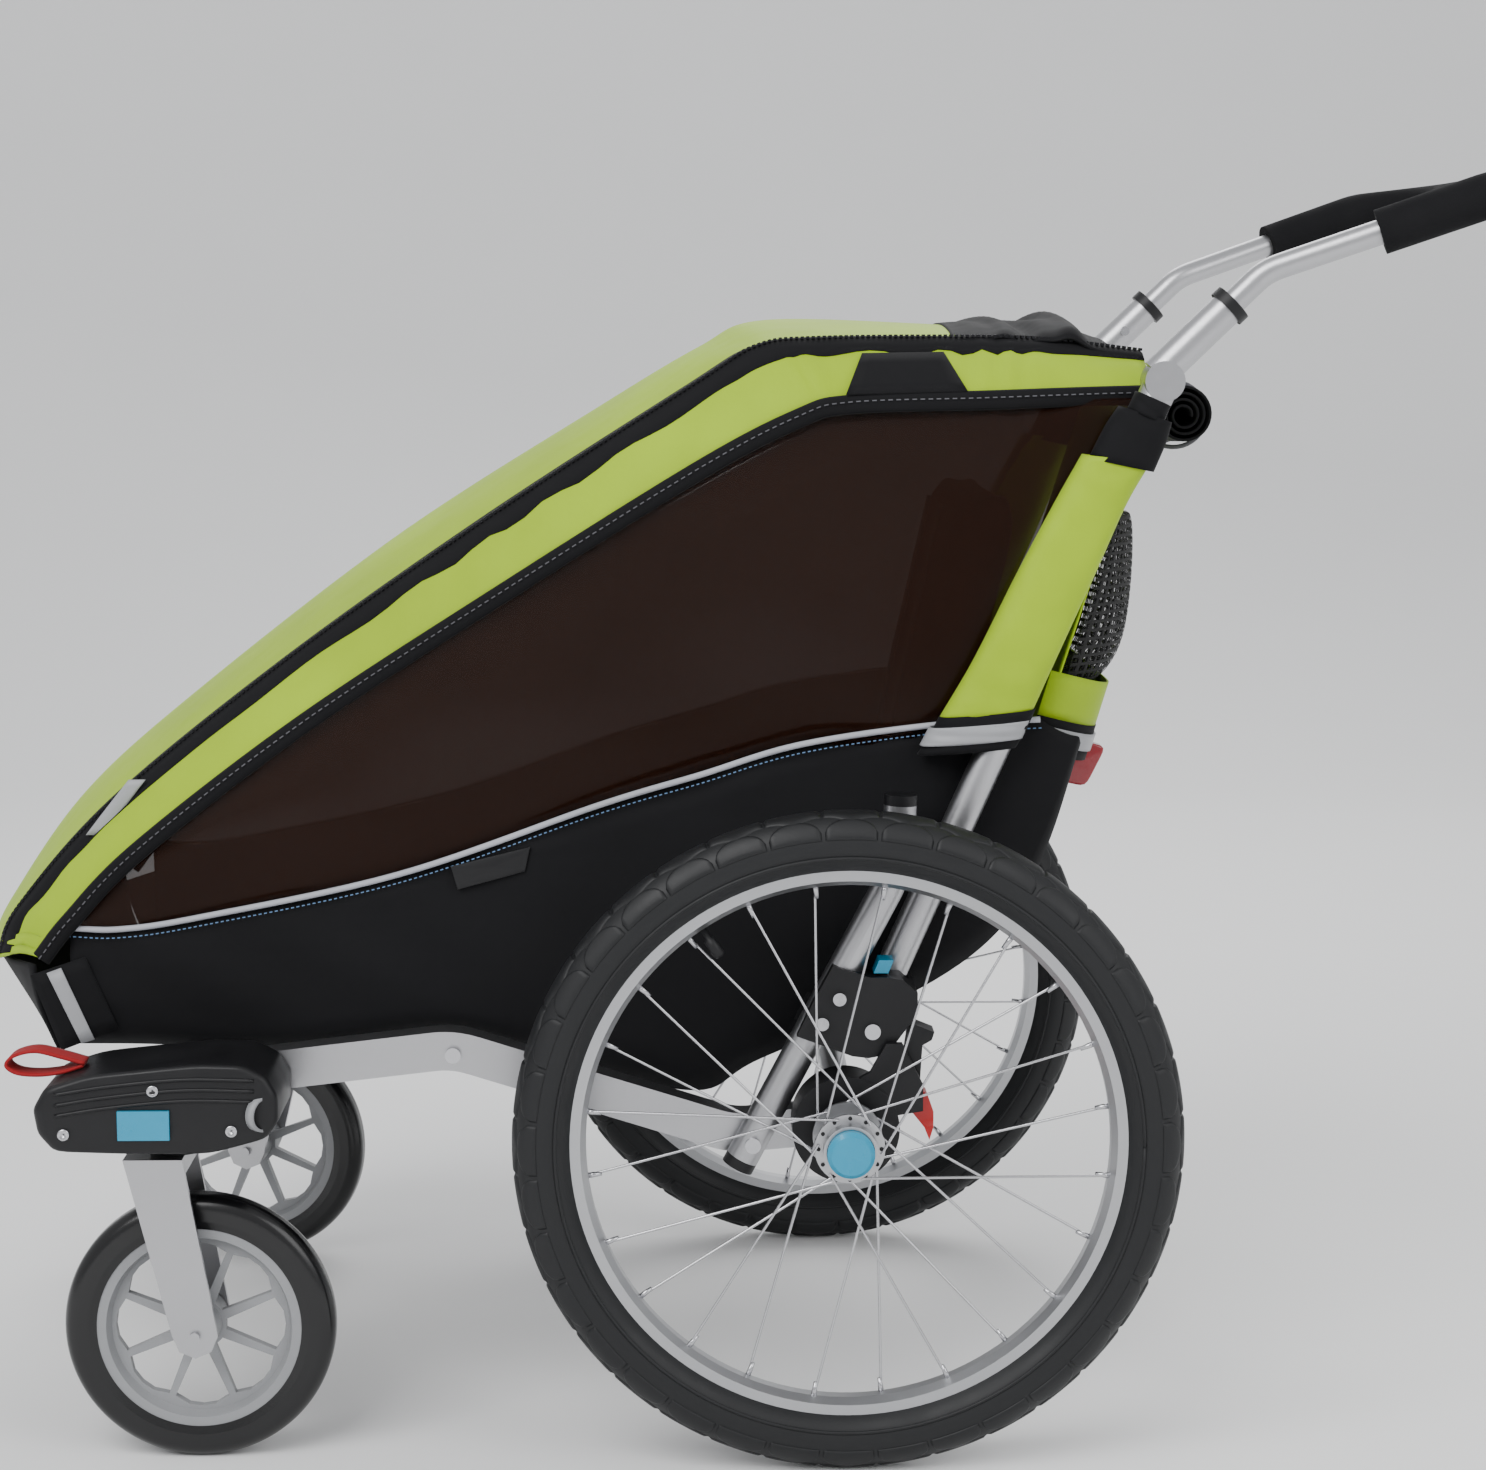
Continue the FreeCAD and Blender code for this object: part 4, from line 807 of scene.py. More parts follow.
class RingRepeat(Repeat):
    """Turns copies of a block evenly about an axle along Y."""

    def __init__(self) -> None:
        """Build the tree."""
        super().__init__("repeat_about_axle", Blank="Geometry", Count="Int", Centre="Vector", Block="Object")
        points = self.add("GeometryNodePoints", {"Count": "Count", "Position": "Centre"})
        info = self.add("GeometryNodeObjectInfo", {"Object": "Block"})
        share = self.add("ShaderNodeMath", {0: self.add("GeometryNodeInputIndex"), 1: "Count"}, operation="DIVIDE")
        angle = self.add("ShaderNodeMath", {0: share}, operation="MULTIPLY")
        angle.node.inputs[1].default_value = FULL_TURN
        way = self.add("ShaderNodeCombineXYZ", {"Y": angle})
        self.close(self.add("GeometryNodeInstanceOnPoints", {
            "Points": points, "Instance": info.node.outputs["Geometry"], "Rotation": way}))

    def about(self, block: Thing, centre: Sequence[float], count: int, material: bpy.types.Material) -> Thing:
        """Repeat a block about an axle.

        Args:
            block: one block, placed as if the axle ran through the origin.
            centre: the axle's middle.
            count: how many blocks.
            material: their finish.

        Returns:
            The baked blocks, with the block's name.
        """
        name, block.name = block.name, block.name + "_one"
        blank = add_object(name, bpy.data.meshes.new(name))
        plain = self.run(blank, Count=count, Centre=centre, Block=block, Finish=material)
        bpy.data.objects.remove(block)
        return plain


# ---------------------------------------------------------------- fitting

@dataclass(frozen=True)
class Cut:
    """The flat size that a sheet was cut to, how it is held, and what it rests on."""

    width: float
    length: float
    area: float
    held: str
    rests_on: Sequence[str]


def fit(item: Thing, body: str, node: str = "", cut: Cut | None = None, folds: bool = True) -> None:
    """Fit a piece to the frame.

    Args:
        item: the piece.
        body: the body that it rides on.
        node: the node that it stands for, or nothing.
        cut: its flat size, on a sheet.
        folds: whether it gets its own copy of its mesh.
    """
    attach(item, body)
    if node:
        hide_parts(node)
    if cut:
        LOG.info("sheet %s: %.0f by %.0f mm", item.name, cut.width * 1000, cut.length * 1000)
    if folds:
        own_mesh(item)


@dataclass
class Site:
    """Where the trailer's pieces are, read from the frame, and what they are made with."""

    palette: Palette
    path: PathRepeat
    ring: RingRepeat
    axle: Vector = field(init=False)

    def __post_init__(self) -> None:
        """Read the rear axle's middle from the left rim's box."""
        low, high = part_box("rim_left")
        self.axle = Vector(((low.x + high.x) / 2, 0, (low.z + high.z) / 2))

    def look(self, name: str) -> bpy.types.Material:
        """Find a finish.

        Args:
            name: its plain name.

        Returns:
            The material.
        """
        return self.palette.get(name)

    def at(self, along: float, across: float, up: float) -> Point:
        """A place in the frame.

        Args:
            along: metres behind the rear axle's middle.
            across: metres to the right of it.
            up: metres above it.

        Returns:
            The place.
        """
        return (self.axle.x + along, across, self.axle.z + up)

    def line(self, pairs: Pairs, across: float, count: int) -> np.ndarray:
        """A smooth side line.

        Args:
            pairs: (x, z) in metres from the axle.
            across: its distance across.
            count: how many points.

        Returns:
            The line's points.
        """
        return np.array([self.at(px, across, pz) for px, pz in smooth_path(pairs, count)])

    def outline(self, pairs: Iterable[Sequence[float]]) -> np.ndarray:
        """A side outline in the frame.

        Args:
            pairs: (x, z) in metres from the axle.

        Returns:
            Its (x, z) points in the frame.
        """
        return np.array([self.at(px, 0, pz) for px, pz in pairs])[:, [0, 2]]

    def lay(self, name: str, grid: np.ndarray, finish: str, depth: float, held: str = "stretched",
            rests_on: Sequence[str] = ("canopy",), slot: str = "black_fabric", node: str = "",
            folds: bool = True) -> None:
        """Make a sheet of cloth that rides on the chassis.

        Args:
            name: the piece's name.
            grid: rows by columns by 3.
            finish: its cloth.
            depth: its thickness.
            held: how it is held.
            rests_on: what it rests on.
            slot: not used.
            node: the node that it stands for, or nothing.
            folds: whether it gets its own copy of its mesh.
        """
        rows, cols, _ = grid.shape
        item = make_mesh(name, grid.reshape(-1, 3), grid_faces(rows, cols), self.look(finish))
        area = sum(face.area for face in item.data.polygons)
        length, width = (float(np.linalg.norm(np.diff(grid, axis=way), axis=2).sum(way).max()) for way in (0, 1))
        cut = Cut(width, length, min(area, width * length), held, rests_on)
        fit(thicken(item, depth), Body.CHASSIS.value, node, cut, folds)


# ---------------------------------------------------------------- sub-assemblies

TRIM = [(-.613, .121), (-.590, .150), (-.536, .205), (-.412, .300), (-.260, .399), (-.109, .493), (-.034, .532),
        (.004, .542), (.100, .545), (.160, .547), (.232, .549)]
SEAM = [(-.655, .112), (-.638, .150), (-.560, .235), (-.417, .349), (-.262, .456), (-.108, .555), (-.063, .582),
        (-.017, .587), (.100, .588), (.160, .586), (.230, .578)]
CROWN = [(-.684, .104), (-.668, .140), (-.610, .222), (-.518, .304), (-.352, .431), (-.189, .534), (-.108, .582),
         (-.059, .603), (.060, .601), (.150, .594), (.215, .582)]
BELT = [(-.592, .144), (-.553, .143), (-.492, .152), (-.339, .185), (-.186, .238), (-.109, .261), (-.033, .284),
        (.070, .299), (.150, .303)]
KEEL = [(-.592, .052), (-.500, .050), (-.430, .048), (-.310, .062), (-.249, .049), (-.187, .029), (-.110, .012),
        (-.063, .037), (.068, .096), (.129, .147), (.157, .202), (.182, .283)]
LABEL = [(-.300, .191), (-.239, .206), (-.243, .187), (-.295, .173)]
SHOULDER_PATCH = [(.0006, .545), (.092, .547), (.076, .576), (.014, .575)]
NOSE_PATCH = [(-.622, .108), (-.580, .122), (-.556, .066), (-.600, .049)]
NOSE_BAND = [(-.609, .110), (-.598, .114), (-.574, .058), (-.584, .055)]
ZIP_END = [(-.583, .206), (-.549, .249), (-.536, .249), (-.570, .206)]
SEAT_BASE = [(-.186, .102), (-.190, .118), (-.184, .132), (-.080, .128), (.016, .120), (.030, .108), (.018, .094)]
SEAT_BACK = [(.034, .116), (.022, .130), (.060, .290), (.098, .462), (.112, .468), (.132, .460), (.094, .290),
             (.056, .118)]
LENS = [(.166, .2446), (.183, .2776), (.213, .2697), (.197, .2375)]
BAG_SIDE = [(.208, .452), (.226, .450), (.230, .400), (.224, .350), (.205, .322), (.176, .313), (.163, .320)]
SHOULDER_STRAP = [(.088, .455), (.060, .330), (.020, .150), (-.030, .140)]
CROTCH_STRAP = [(-.120, .137), (-.090, .140), (-.050, .142)]
TOW_LOOP = [(-.568, .057), (-.585, .062), (-.604, .0665), (-.620, .063), (-.626, .056), (-.618, .050),
            (-.602, .0485), (-.585, .0505), (-.569, .0555)]
HOUSING = [(-.601, .030), (-.592, .046), (-.560, .056), (-.480, .064), (-.446, .063), (-.429, .054), (-.421, .040),
           (-.421, .020), (-.430, .007), (-.471, -.004), (-.530, -.004), (-.586, -.002), (-.598, .012)]


@dataclass
class Canopy:
    """The lime cover: one curved sheet, its zips, bindings, patches and nose."""

    site: Site
    trim_y: float = 0.196
    zip_y: float = 0.150
    rows: int = 120
    cols: int = 49
    gather: float = 0.0032

    def taper(self, along: float) -> float:
        """How much narrower the cover is where it passes between the handle's sleeves.

        Args:
            along: metres behind the axle.

        Returns:
            Its share of the full width.
        """
        return 1 - 0.05 * min(1.0, max(0.0, (along - 0.13) / 0.06))

    def surface(self) -> np.ndarray:
        """Points of the cover.

        Returns:
            Nose to rear by left to right by 3.
        """
        trim, seam, crown = (smooth_path(points, self.rows) for points in (TRIM, SEAM, CROWN))
        along = spread(self.rows, 0)
        puckers = self.gather * np.sin(along * 150 + 2 * np.sin(along * 31)) * (0.5 + 0.5 * np.sin(along * 17 + 1))
        columns = []
        for across in self.trim_y * spread(self.cols):
            side = abs(across)
            if side <= self.zip_y:
                flat = seam + (crown - seam) * (1 - (side / self.zip_y) ** 2)
            else:
                drop = (side - self.zip_y) / (self.trim_y - self.zip_y)
                flat = seam + (trim - seam) * drop
                flat[:, 1] += (0.004 + puckers) * math.sin(drop * math.pi)
            columns.append([self.site.at(px, across * self.taper(px), pz) for px, pz in flat])
        return np.array(columns).transpose(1, 0, 2)

    def build(self) -> None:
        """Make the cover and what is sewn on it."""
        grid = self.surface()
        self.site.lay("canopy_cover", grid, "lime_cloth", 0.0022, rests_on=("roof_hoop", "cabin_tub"),
                      slot="lime_fabric", node="canopy")
        for side, sign in SIDES:
            self.zip(side, sign, grid)
            self.binding(side, sign)
            self.patch(side, sign)
        self.nose()
        self.bunch()

    def zip(self, side: str, sign: int, grid: np.ndarray) -> None:
        """The zip tape laid along the cover, and its teeth.

        Args:
            side: left or right.
            sign: -1 or 1.
            grid: the cover's points.
        """
        places = spread(self.cols, -self.trim_y, self.trim_y)
        spots = [sign * self.zip_y + share * 0.013 for share in (-1, -0.33, 0.33, 1)]
        tape = skin(grid, spots, lambda row, spot: [np.interp(spot, places, row[:, axis]) for axis in range(3)])
        tape[:, 1:3, 2] += 0.0012
        tape[:, :, 2] += 0.0014
        self.site.lay("zip_tape_" + side, tape, "black_cloth", 0.0018)
        column = int(round((sign * self.zip_y / self.trim_y + 1) / 2 * (self.cols - 1)))
        teeth = self.site.path.along("zip_teeth_" + side, grid[:, column] + np.array([0, 0, 0.0042]), 0.0042,
                                     (0.0024, 0.0065, 0.002), self.site.look("zip_metal"))
        fit(teeth, Body.CHASSIS.value)

    def binding(self, side: str, sign: int) -> None:
        """The black binding and its stitches along one lower edge of the cover.

        Args:
            side: left or right.
            sign: -1 or 1.
        """
        edge = self.site.line(TRIM, sign * (self.trim_y + 0.0005), 150)
        for spot in edge:
            spot[1] *= self.taper(spot[0] - self.site.axle.x)
        roll = tube("canopy_binding_" + side, edge, 0.0074, self.site.look("black_cloth"), 0.4)
        stitches = self.site.path.along("binding_stitches_" + side, edge + np.array([0, sign * 0.0036, 0.002]),
                                        0.006, (0.0034, 0.0009, 0.0009), self.site.look("grey_webbing"))
        for piece in (roll, stitches):
            fit(piece, Body.CHASSIS.value)

    def patch(self, side: str, sign: int) -> None:
        """A blank patch sewn on the cover's shoulder.

        Args:
            side: left or right.
            sign: -1 or 1.
        """
        def place(down: float, along: float) -> Point:
            """Give one point of the sheet."""
            px, pz = inside(SHOULDER_PATCH, down, along)
            across = self.trim_y - (pz - 0.544) / 0.044 * (self.trim_y - self.zip_y) + 0.0045
            return self.site.at(px, sign * across, pz + 0.0045)
        self.site.lay("blank_patch_" + side, skin(spread(5, 0), spread(9, 0), place), "black_cloth", 0.0014)

    def nose(self) -> None:
        """The black nose panel under the cover, with its corner patches, bands and zip ends."""
        def place(drop: float, share: float) -> Point:
            """Give one point of the sheet."""
            arc = 1 - share ** 2
            px = (-.619 - .062 * arc) * (1 - drop) + (-.602 - .022 * arc) * drop - 0.004 * math.sin(drop * math.pi)
            height = .104 + .012 * share ** 2
            return self.site.at(px, self.trim_y * 0.985 * share, height * (1 - drop) + 0.050 * drop)
        self.site.lay("nose_panel", skin(spread(16, 0), spread(41), place), "black_cloth", 0.003)
        lie = self.trim_y - 0.001
        for side, sign in SIDES:
            self.quad("nose_corner_patch_" + side, NOSE_PATCH, sign * lie, "black_cloth")
            self.quad("nose_reflective_band_" + side, NOSE_BAND, sign * (lie + 0.0022), "reflective_band")
            self.quad("zip_end_flap_" + side, ZIP_END, sign * (self.zip_y + 0.012), "reflective_band", 0.005)

    def quad(self, name: str, corners: Pairs, across: float, finish: str, lift: float = 0.0) -> None:
        """A small four-cornered patch lying at one distance across.

        Args:
            name: the piece's name.
            corners: its (x, z) corners.
            across: its distance across.
            finish: its cloth.
            lift: how far it is raised.
        """
        def place(down: float, along: float) -> Point:
            """Give one point of the sheet."""
            px, pz = inside(corners, down, along)
            puff = 0.0012 * math.sin(down * math.pi) * math.sin(along * math.pi)
            return self.site.at(px, across + math.copysign(puff, across), pz + lift)
        self.site.lay(name, skin(spread(7, 0), spread(9, 0), place), finish, 0.0014)

    def bunch(self) -> None:
        """The spare cover cloth, gathered across the rear of the roof."""
        def place(along: float, share: float) -> Point:
            """Give one point of the sheet."""
            across = 0.150 * share
            base = .601 - .016 * max(0.0, along - .30) - .012 * share ** 2
            hump = 0.014 * math.exp(-((along - .70) / .15) ** 2) + 0.004 * math.exp(-((along - .30) / .16) ** 2)
            fold = 0.0022 * math.sin(along * 30 + 3 * math.sin(across * 17)) * math.sin(along * math.pi)
            tuck = math.sin(min(1.0, 0.35 + 6 * (1 - abs(share))) * math.pi / 2)
            return self.site.at(.085 + .125 * along, across, base + (hump + fold) * tuck)
        self.site.lay("gathered_cover", skin(spread(46, 0), spread(61), place), "black_cloth", 0.002)


@dataclass
class Cabin:
    """The black tub, windows, seat, straps and rear of the cabin."""

    site: Site
    half: float = 0.188
    floor_share: float = 0.4
    window_y: float = 0.1895

    def build(self) -> None:
        """Make every cloth piece of the cabin."""
        self.tub()
        for side, sign in SIDES:
            self.belt_line(side, sign)
        self.windows()
        self.seat()
        self.rear()
        self.straps()

    def tub(self) -> None:
        """The tub: a U of cloth hung from the belt line, tight round the floor pan."""
        def place(lines: tuple[np.ndarray, np.ndarray], share: float) -> Point:
            """Give one point of the sheet."""
            low, high = lines
            side = abs(share)
            if side > self.floor_share:
                rise = (side - self.floor_share) / (1 - self.floor_share)
                across = self.half + 0.004 * math.sin(rise * math.pi)
                px, pz = low * (1 - rise) + high * rise
                pz += 0.006 * (1 - rise) ** 3
            else:
                across = self.half * (side / self.floor_share) ** 0.8
                px, pz = low
            ripple = 0.0015 * math.sin(px * 55 + side * 9) * math.sin(pz * 40)
            return self.site.at(px, math.copysign(across + ripple, share), pz)
        grid = skin(zip(smooth_path(KEEL, 90), smooth_path(BELT, 90)), spread(33), place)
        self.site.lay("tub_cloth", grid, "black_cloth", 0.0026, "hung", ("side_arm_left", "side_arm_right"),
                      node="cabin_tub")

    def belt_line(self, side: str, sign: int) -> None:
        """Reflective piping with a dotted stitch, and a blank label.

        Args:
            side: left or right.
            sign: -1 or 1.
        """
        line = self.site.line(BELT, sign * (self.half + 0.0045), 140)
        piping = tube("belt_piping_" + side, line, 0.0024, self.site.look("piping_cloth"))
        dots = self.site.path.along("belt_stitches_" + side, line + np.array([0, sign * 0.0005, -0.0065]), 0.0042,
                                    (0.0022, 0.0008, 0.0008), self.site.look("thread_blue"))
        for piece in (piping, dots):
            fit(piece, Body.CHASSIS.value)
        across = sign * (self.half + 0.0052)
        label = pillow("belt_label_" + side, self.site.outline(rounded(LABEL, 6, 0)), across - 0.001, across + 0.001,
                       0.0006, self.site.look("black_moulding"))
        fit(label, Body.CHASSIS.value)

    def windows(self) -> None:
        """Clear side panels between the belt line and the cover."""
        low, high = smooth_path(BELT[:-1] + [(.160, .420)], 80), smooth_path(TRIM[1:], 80)
        for side, sign in SIDES:
            def place(lines: tuple[np.ndarray, np.ndarray], share: float) -> Point:
                """Give one point of the sheet."""
                px, pz = lines[0] * (1 - share) + lines[1] * share
                bulge = 0.004 * math.sin(share * math.pi) + 0.0012 * math.sin(px * 30 + share * 5)
                return self.site.at(px, sign * (self.window_y + max(bulge, 0)), pz - 0.002)
            self.site.lay("window_" + side, skin(zip(low, high), spread(14, 0), place), "window_vinyl", 0.0008,
                          rests_on=("cabin_tub", "canopy"), slot="window", node="side_windows" if sign < 0 else "")

    def seat(self) -> None:
        """Seat: a padded base and back, puffed by a short cloth simulation."""
        for name, points, node in (("seat_base_pad", SEAT_BASE, "seat"), ("seat_back_pad", SEAT_BACK, "")):
            outline = self.site.outline(smooth_path(points + points[:1], 60)[:-1])
            pad = pillow(name, outline, -0.136, 0.136, 0.010, self.site.look("seat_cloth"))
            pad = self.puff(pad)
            fit(pad, Body.CHASSIS.value, node)

    def puff(self, item: Thing, voxel: float = 0.006, frames: int = 16, cap: float = 0.007) -> Thing:
        """Swell a pad with cloth pressure.

        Args:
            item: the pad's mesh.
            voxel: remesh size.
            frames: steps of simulation.
            cap: the most that a point may move.

        Returns:
            The finished pad.
        """
        remesh = item.modifiers.new("remesh", "REMESH")
        remesh.mode = "VOXEL"
        remesh.voxel_size = voxel
        item = bake(item)
        rest = np.array([v.co for v in item.data.vertices])
        cloth = item.modifiers.new("cloth", "CLOTH")
        cloth.settings.use_pressure = True
        cloth.settings.uniform_pressure_force = 4.0
        cloth.settings.effector_weights.gravity = 0.0
        cloth.point_cache.frame_start = 1
        cloth.point_cache.frame_end = frames
        scene = bpy.context.scene
        for step in range(1, frames + 1):
            scene.frame_set(step)
        item = bake(item)
        moved = np.array([v.co for v in item.data.vertices]) - rest
        far = np.linalg.norm(moved, axis=1, keepdims=True)
        moved *= np.minimum(1, cap / np.maximum(far, 1e-9))
        item.data.vertices.foreach_set("co", (rest + moved).astype(np.float32).ravel())
        scene.frame_set(1)
        item.data.materials.clear()
        item.data.materials.append(self.site.look("seat_cloth"))
        item.data.shade_smooth()
        return item

    def rear(self) -> None:
        """The lime rear panel with its bands and reflector, the net bag and the rolled rain cover."""
        self.rear_bands()
        lens = pillow("reflector_lens", self.site.outline(rounded(LENS, 8, 2)), -0.107, -0.093, 0.002,
                      self.site.look("red_reflector"))
        fit(lens, Body.CHASSIS.value, "rear_reflector")

        def panel(rise: float, share: float) -> Point:
            """Give one point of the sheet."""
            px = .150 + .079 * rise + 0.004 * (1 - share ** 2) * math.sin(rise * math.pi)
            return self.site.at(px, 0.183 * share, .287 + .250 * rise)

        def bag(spot: tuple[int, np.ndarray], share: float) -> Point:
            """Give one point of the sheet."""
            index, (px, pz) = spot
            inner = .158 + (pz - .310) * .300
            out = max(px - inner, 0.0) * (1 - abs(share) ** 5)
            sag = 0.006 * math.sin(share * 7) * math.sin(index / 33 * math.pi)
            return self.site.at(inner + 0.006 + out * 0.95, 0.172 * share, pz + sag)
        self.site.lay("rear_panel_cloth", skin(spread(30, 0), spread(25), panel), "lime_cloth", 0.002,
                      rests_on=("rear_panel",), slot="lime_fabric", node="rear_panel")
        self.site.lay("cargo_bag_net", skin(enumerate(smooth_path(BAG_SIDE, 34)), spread(41), bag), "bag_net", 0.0012,
                      "hung", ("rear_panel",), node="cargo_bag")
        self.roll()

    def rear_bands(self) -> None:
        """The lime flap under the bag with its black and reflective edging."""
        for name, low, high, proud, finish, slot in (
                ("rear_flap", .306, .340, 0.0, "lime_cloth", "lime_fabric"),
                ("rear_edging", .279, .306, 0.0006, "black_cloth", "black_fabric"),
                ("rear_reflective_strip", .286, .299, 0.0026, "reflective_band", "black_fabric")):
            def place(pz: float, share: float) -> Point:
                """Give one point of the sheet."""
                end = abs(share) ** 9
                px = .162 + .040 * (1 - end) + (pz - .306) * .30 + proud - 0.0135 * end
                return self.site.at(px, 0.186 * share, pz - 0.016 * (1 - end))
            self.site.lay(name, skin(spread(6, low, high), spread(41), place), finish, 0.0018,
                          rests_on=("rear_panel",), slot=slot)

    def roll(self) -> None:
        """The rain cover, rolled up and tied across the rear."""
        low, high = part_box("rolled_cover")
        cx, cz = (low.x + high.x) / 2, (low.z + high.z) / 2

        def place(share: float, across: float) -> Point:
            """Give one point of the sheet."""
            angle = share * 3.4 * FULL_TURN
            radius = 0.006 + 0.0165 * share + 0.0012 * math.sin(across * 45 + angle)
            return (cx + radius * math.cos(angle), across, cz + radius * math.sin(angle))
        for index, across in enumerate((-0.09, 0.0, 0.09)):
            tie = tube("cover_tie_%d" % (index + 1), ring_points((cx, across, cz), 0.0255, 40, 0.002), 0.0018,
                       self.site.look("grey_webbing"))
            fit(tie, Body.CHASSIS.value)
        self.site.lay("rolled_rain_cover", skin(spread(110, 0), spread(29, low.y, high.y), place), "black_cloth",
                      0.002, "folded", ("rear_panel",), node="rolled_cover")

    def straps(self) -> None:
        """Harness webbing on the seat, and the red tow strap at the left front corner."""
        for name, points, middle, node in (("shoulder_strap_left", SHOULDER_STRAP, -0.055, ""),
                                           ("shoulder_strap_right", SHOULDER_STRAP, 0.055, ""),
                                           ("crotch_strap", CROTCH_STRAP, 0.0, "seat_harness")):
            grid = skin(smooth_path(points, 30), (-.014, -.005, .005, .014),
                        lambda spot, wide: self.site.at(spot[0] - 0.004, middle + wide, spot[1] + 0.004))
            self.site.lay(name, grid, "grey_webbing", 0.0016, "laid", ("seat",), "webbing", node)
        low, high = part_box("strap_loop")
        grid = skin(smooth_path(TOW_LOOP, 60), (0, .2, .5, .8, 1),
                    lambda spot, wide: self.site.at(spot[0], low.y + wide * (high.y - low.y), spot[1]))
        self.site.lay("tow_strap", grid, "red_webbing", 0.0022, "hung", ("corner_housing_left",), "webbing",
                      "strap_loop", folds=False)


@dataclass
class Wheel:
    """A rear wheel's tyre with its tread, valve, nipples, and dark discs painted as the shade in the hub's holes."""

    site: Site
    side: str
    sign: int
    scallops: int = 36
    relief: float = 0.0013
    centre: Point = field(init=False)
    outer: float = field(init=False)
    half: float = field(init=False)
    middle: float = field(init=False)
    reach: float = field(init=False)

    def __post_init__(self) -> None:
        """Read the tyre's sizes from its node's box."""
        low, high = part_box("tyre_" + self.side)
        self.centre = (self.site.axle.x, (low.y + high.y) / 2, self.site.axle.z)
        self.outer, self.half = (high.z - low.z) / 2, (high.y - low.y) / 2
        self.middle = self.outer - self.half
        self.reach = self.outer - self.relief - self.middle

    def build(self) -> None:
        """Make the tyre over its node and dress the wheel."""
        rubber = self.site.look("tyre_rubber")
        bead = self.outer - 0.046
        arc = [((self.half - self.relief) * math.sin(a), self.middle + self.reach * math.cos(a))
               for a in spread(34, -2.15, 2.15)]
        casing = lathe("tyre_casing_" + self.side, [(-0.0097, bead), *arc, (0.0097, bead)], self.centre, rubber, 144)
        lugs = [self.lug("tread_scallops_%s_in" % self.side, -self.sign),
                self.lug("tread_scallops_%s_out" % self.side, self.sign), self.lug("tread_crown_" + self.side, 0)]
        treads = [self.site.ring.about(lug, self.centre, self.scallops, rubber) for lug in lugs]
        fit(casing, "wheel_" + self.side, "tyre_" + self.side, folds=False)
        for piece in [*treads, *self.trims()]:
            fit(piece, "wheel_" + self.side, folds=False)
        self.nipples()

    def lug(self, name: str, way: int) -> Thing:
        """One raised tread lug: a dome on the shoulder, or the winged lug between the domes.

        Args:
            name: the piece's name.
            way: which side of the tyre the dome is on, or 0 for the crown's lug.

        Returns:
            The lug, placed about an axle through the origin.
        """
        rows, cols, pitch = 17, 19, FULL_TURN / self.scallops
        top, bottom = [], []
        for across in spread(rows, 0):
            for along in spread(cols):
                if way:
                    arch = math.sqrt(max(0.0, 1 - (along * 0.97) ** 2))
                    lean = way * (1.36 - across * (0.10 + 0.72 * arch))
                    angle, start = along * pitch * 0.47, across + 0.02
                else:
                    wing = 0.47 + 0.66 * (1 - math.sqrt(max(0.0, 1 - ((1 - abs(along)) * 0.97) ** 2)))
                    lean = (across * 2 - 1) * wing
                    angle, start = along * pitch * 0.485, across
                edge = min(1.0, 6 * min(start, 1 - across), 8 * (1 - abs(along)))
                for shell, lift in ((top, self.relief * 0.92 * edge ** 0.5), (bottom, -0.0008)):
                    radius = self.middle + (self.reach + lift) * math.cos(lean)
                    out = (self.half - self.relief + lift) * math.sin(lean)
                    shell.append((radius * math.cos(angle), out, radius * math.sin(angle)))
        last, below = (rows - 1) * cols, rows * cols
        faces = grid_faces(rows, cols) + [face[::-1] for face in grid_faces(rows, cols, start=below)]
        rim = [*range(cols), *(i * cols + cols - 1 for i in range(1, rows))]
        rim += [*range(last + cols - 2, last - 1, -1), *(i * cols for i in range(rows - 2, 0, -1))]
        faces += [[a, b, b + below, a + below] for a, b in zip(rim, rim[1:] + rim[:1])]
        return clean(make_mesh(name, top + bottom, faces, self.site.look("tyre_rubber")))

    def trims(self) -> list[Thing]:
        """The valve with its cap, and a wear ring on each sidewall.

        Returns:
            The pieces.
        """
        way = Vector((math.cos(math.radians(124)), 0, math.sin(math.radians(124))))
        foot = Vector(self.centre) + way * (self.outer - 0.054)
        profile = [(0, 0.0001), (0, 0.003), (-0.010, 0.003), (-0.011, 0.0045), (-0.024, 0.0045), (-0.026, 0.003),
                   (-0.026, 0.0001)]
        pieces = [lathe("valve_" + self.side, profile, foot, self.site.look("black_moulding"), 20, way)]
        for edge, offset in (("in", -self.sign), ("out", self.sign)):
            middle = (self.centre[0], self.centre[1] + offset * 0.0207, self.centre[2])
            pieces.append(tube("sidewall_ring_%s_%s" % (self.side, edge), ring_points(middle, self.outer - 0.0325, 120),
                               0.0014, self.site.look("tyre_rubber")))
        return pieces

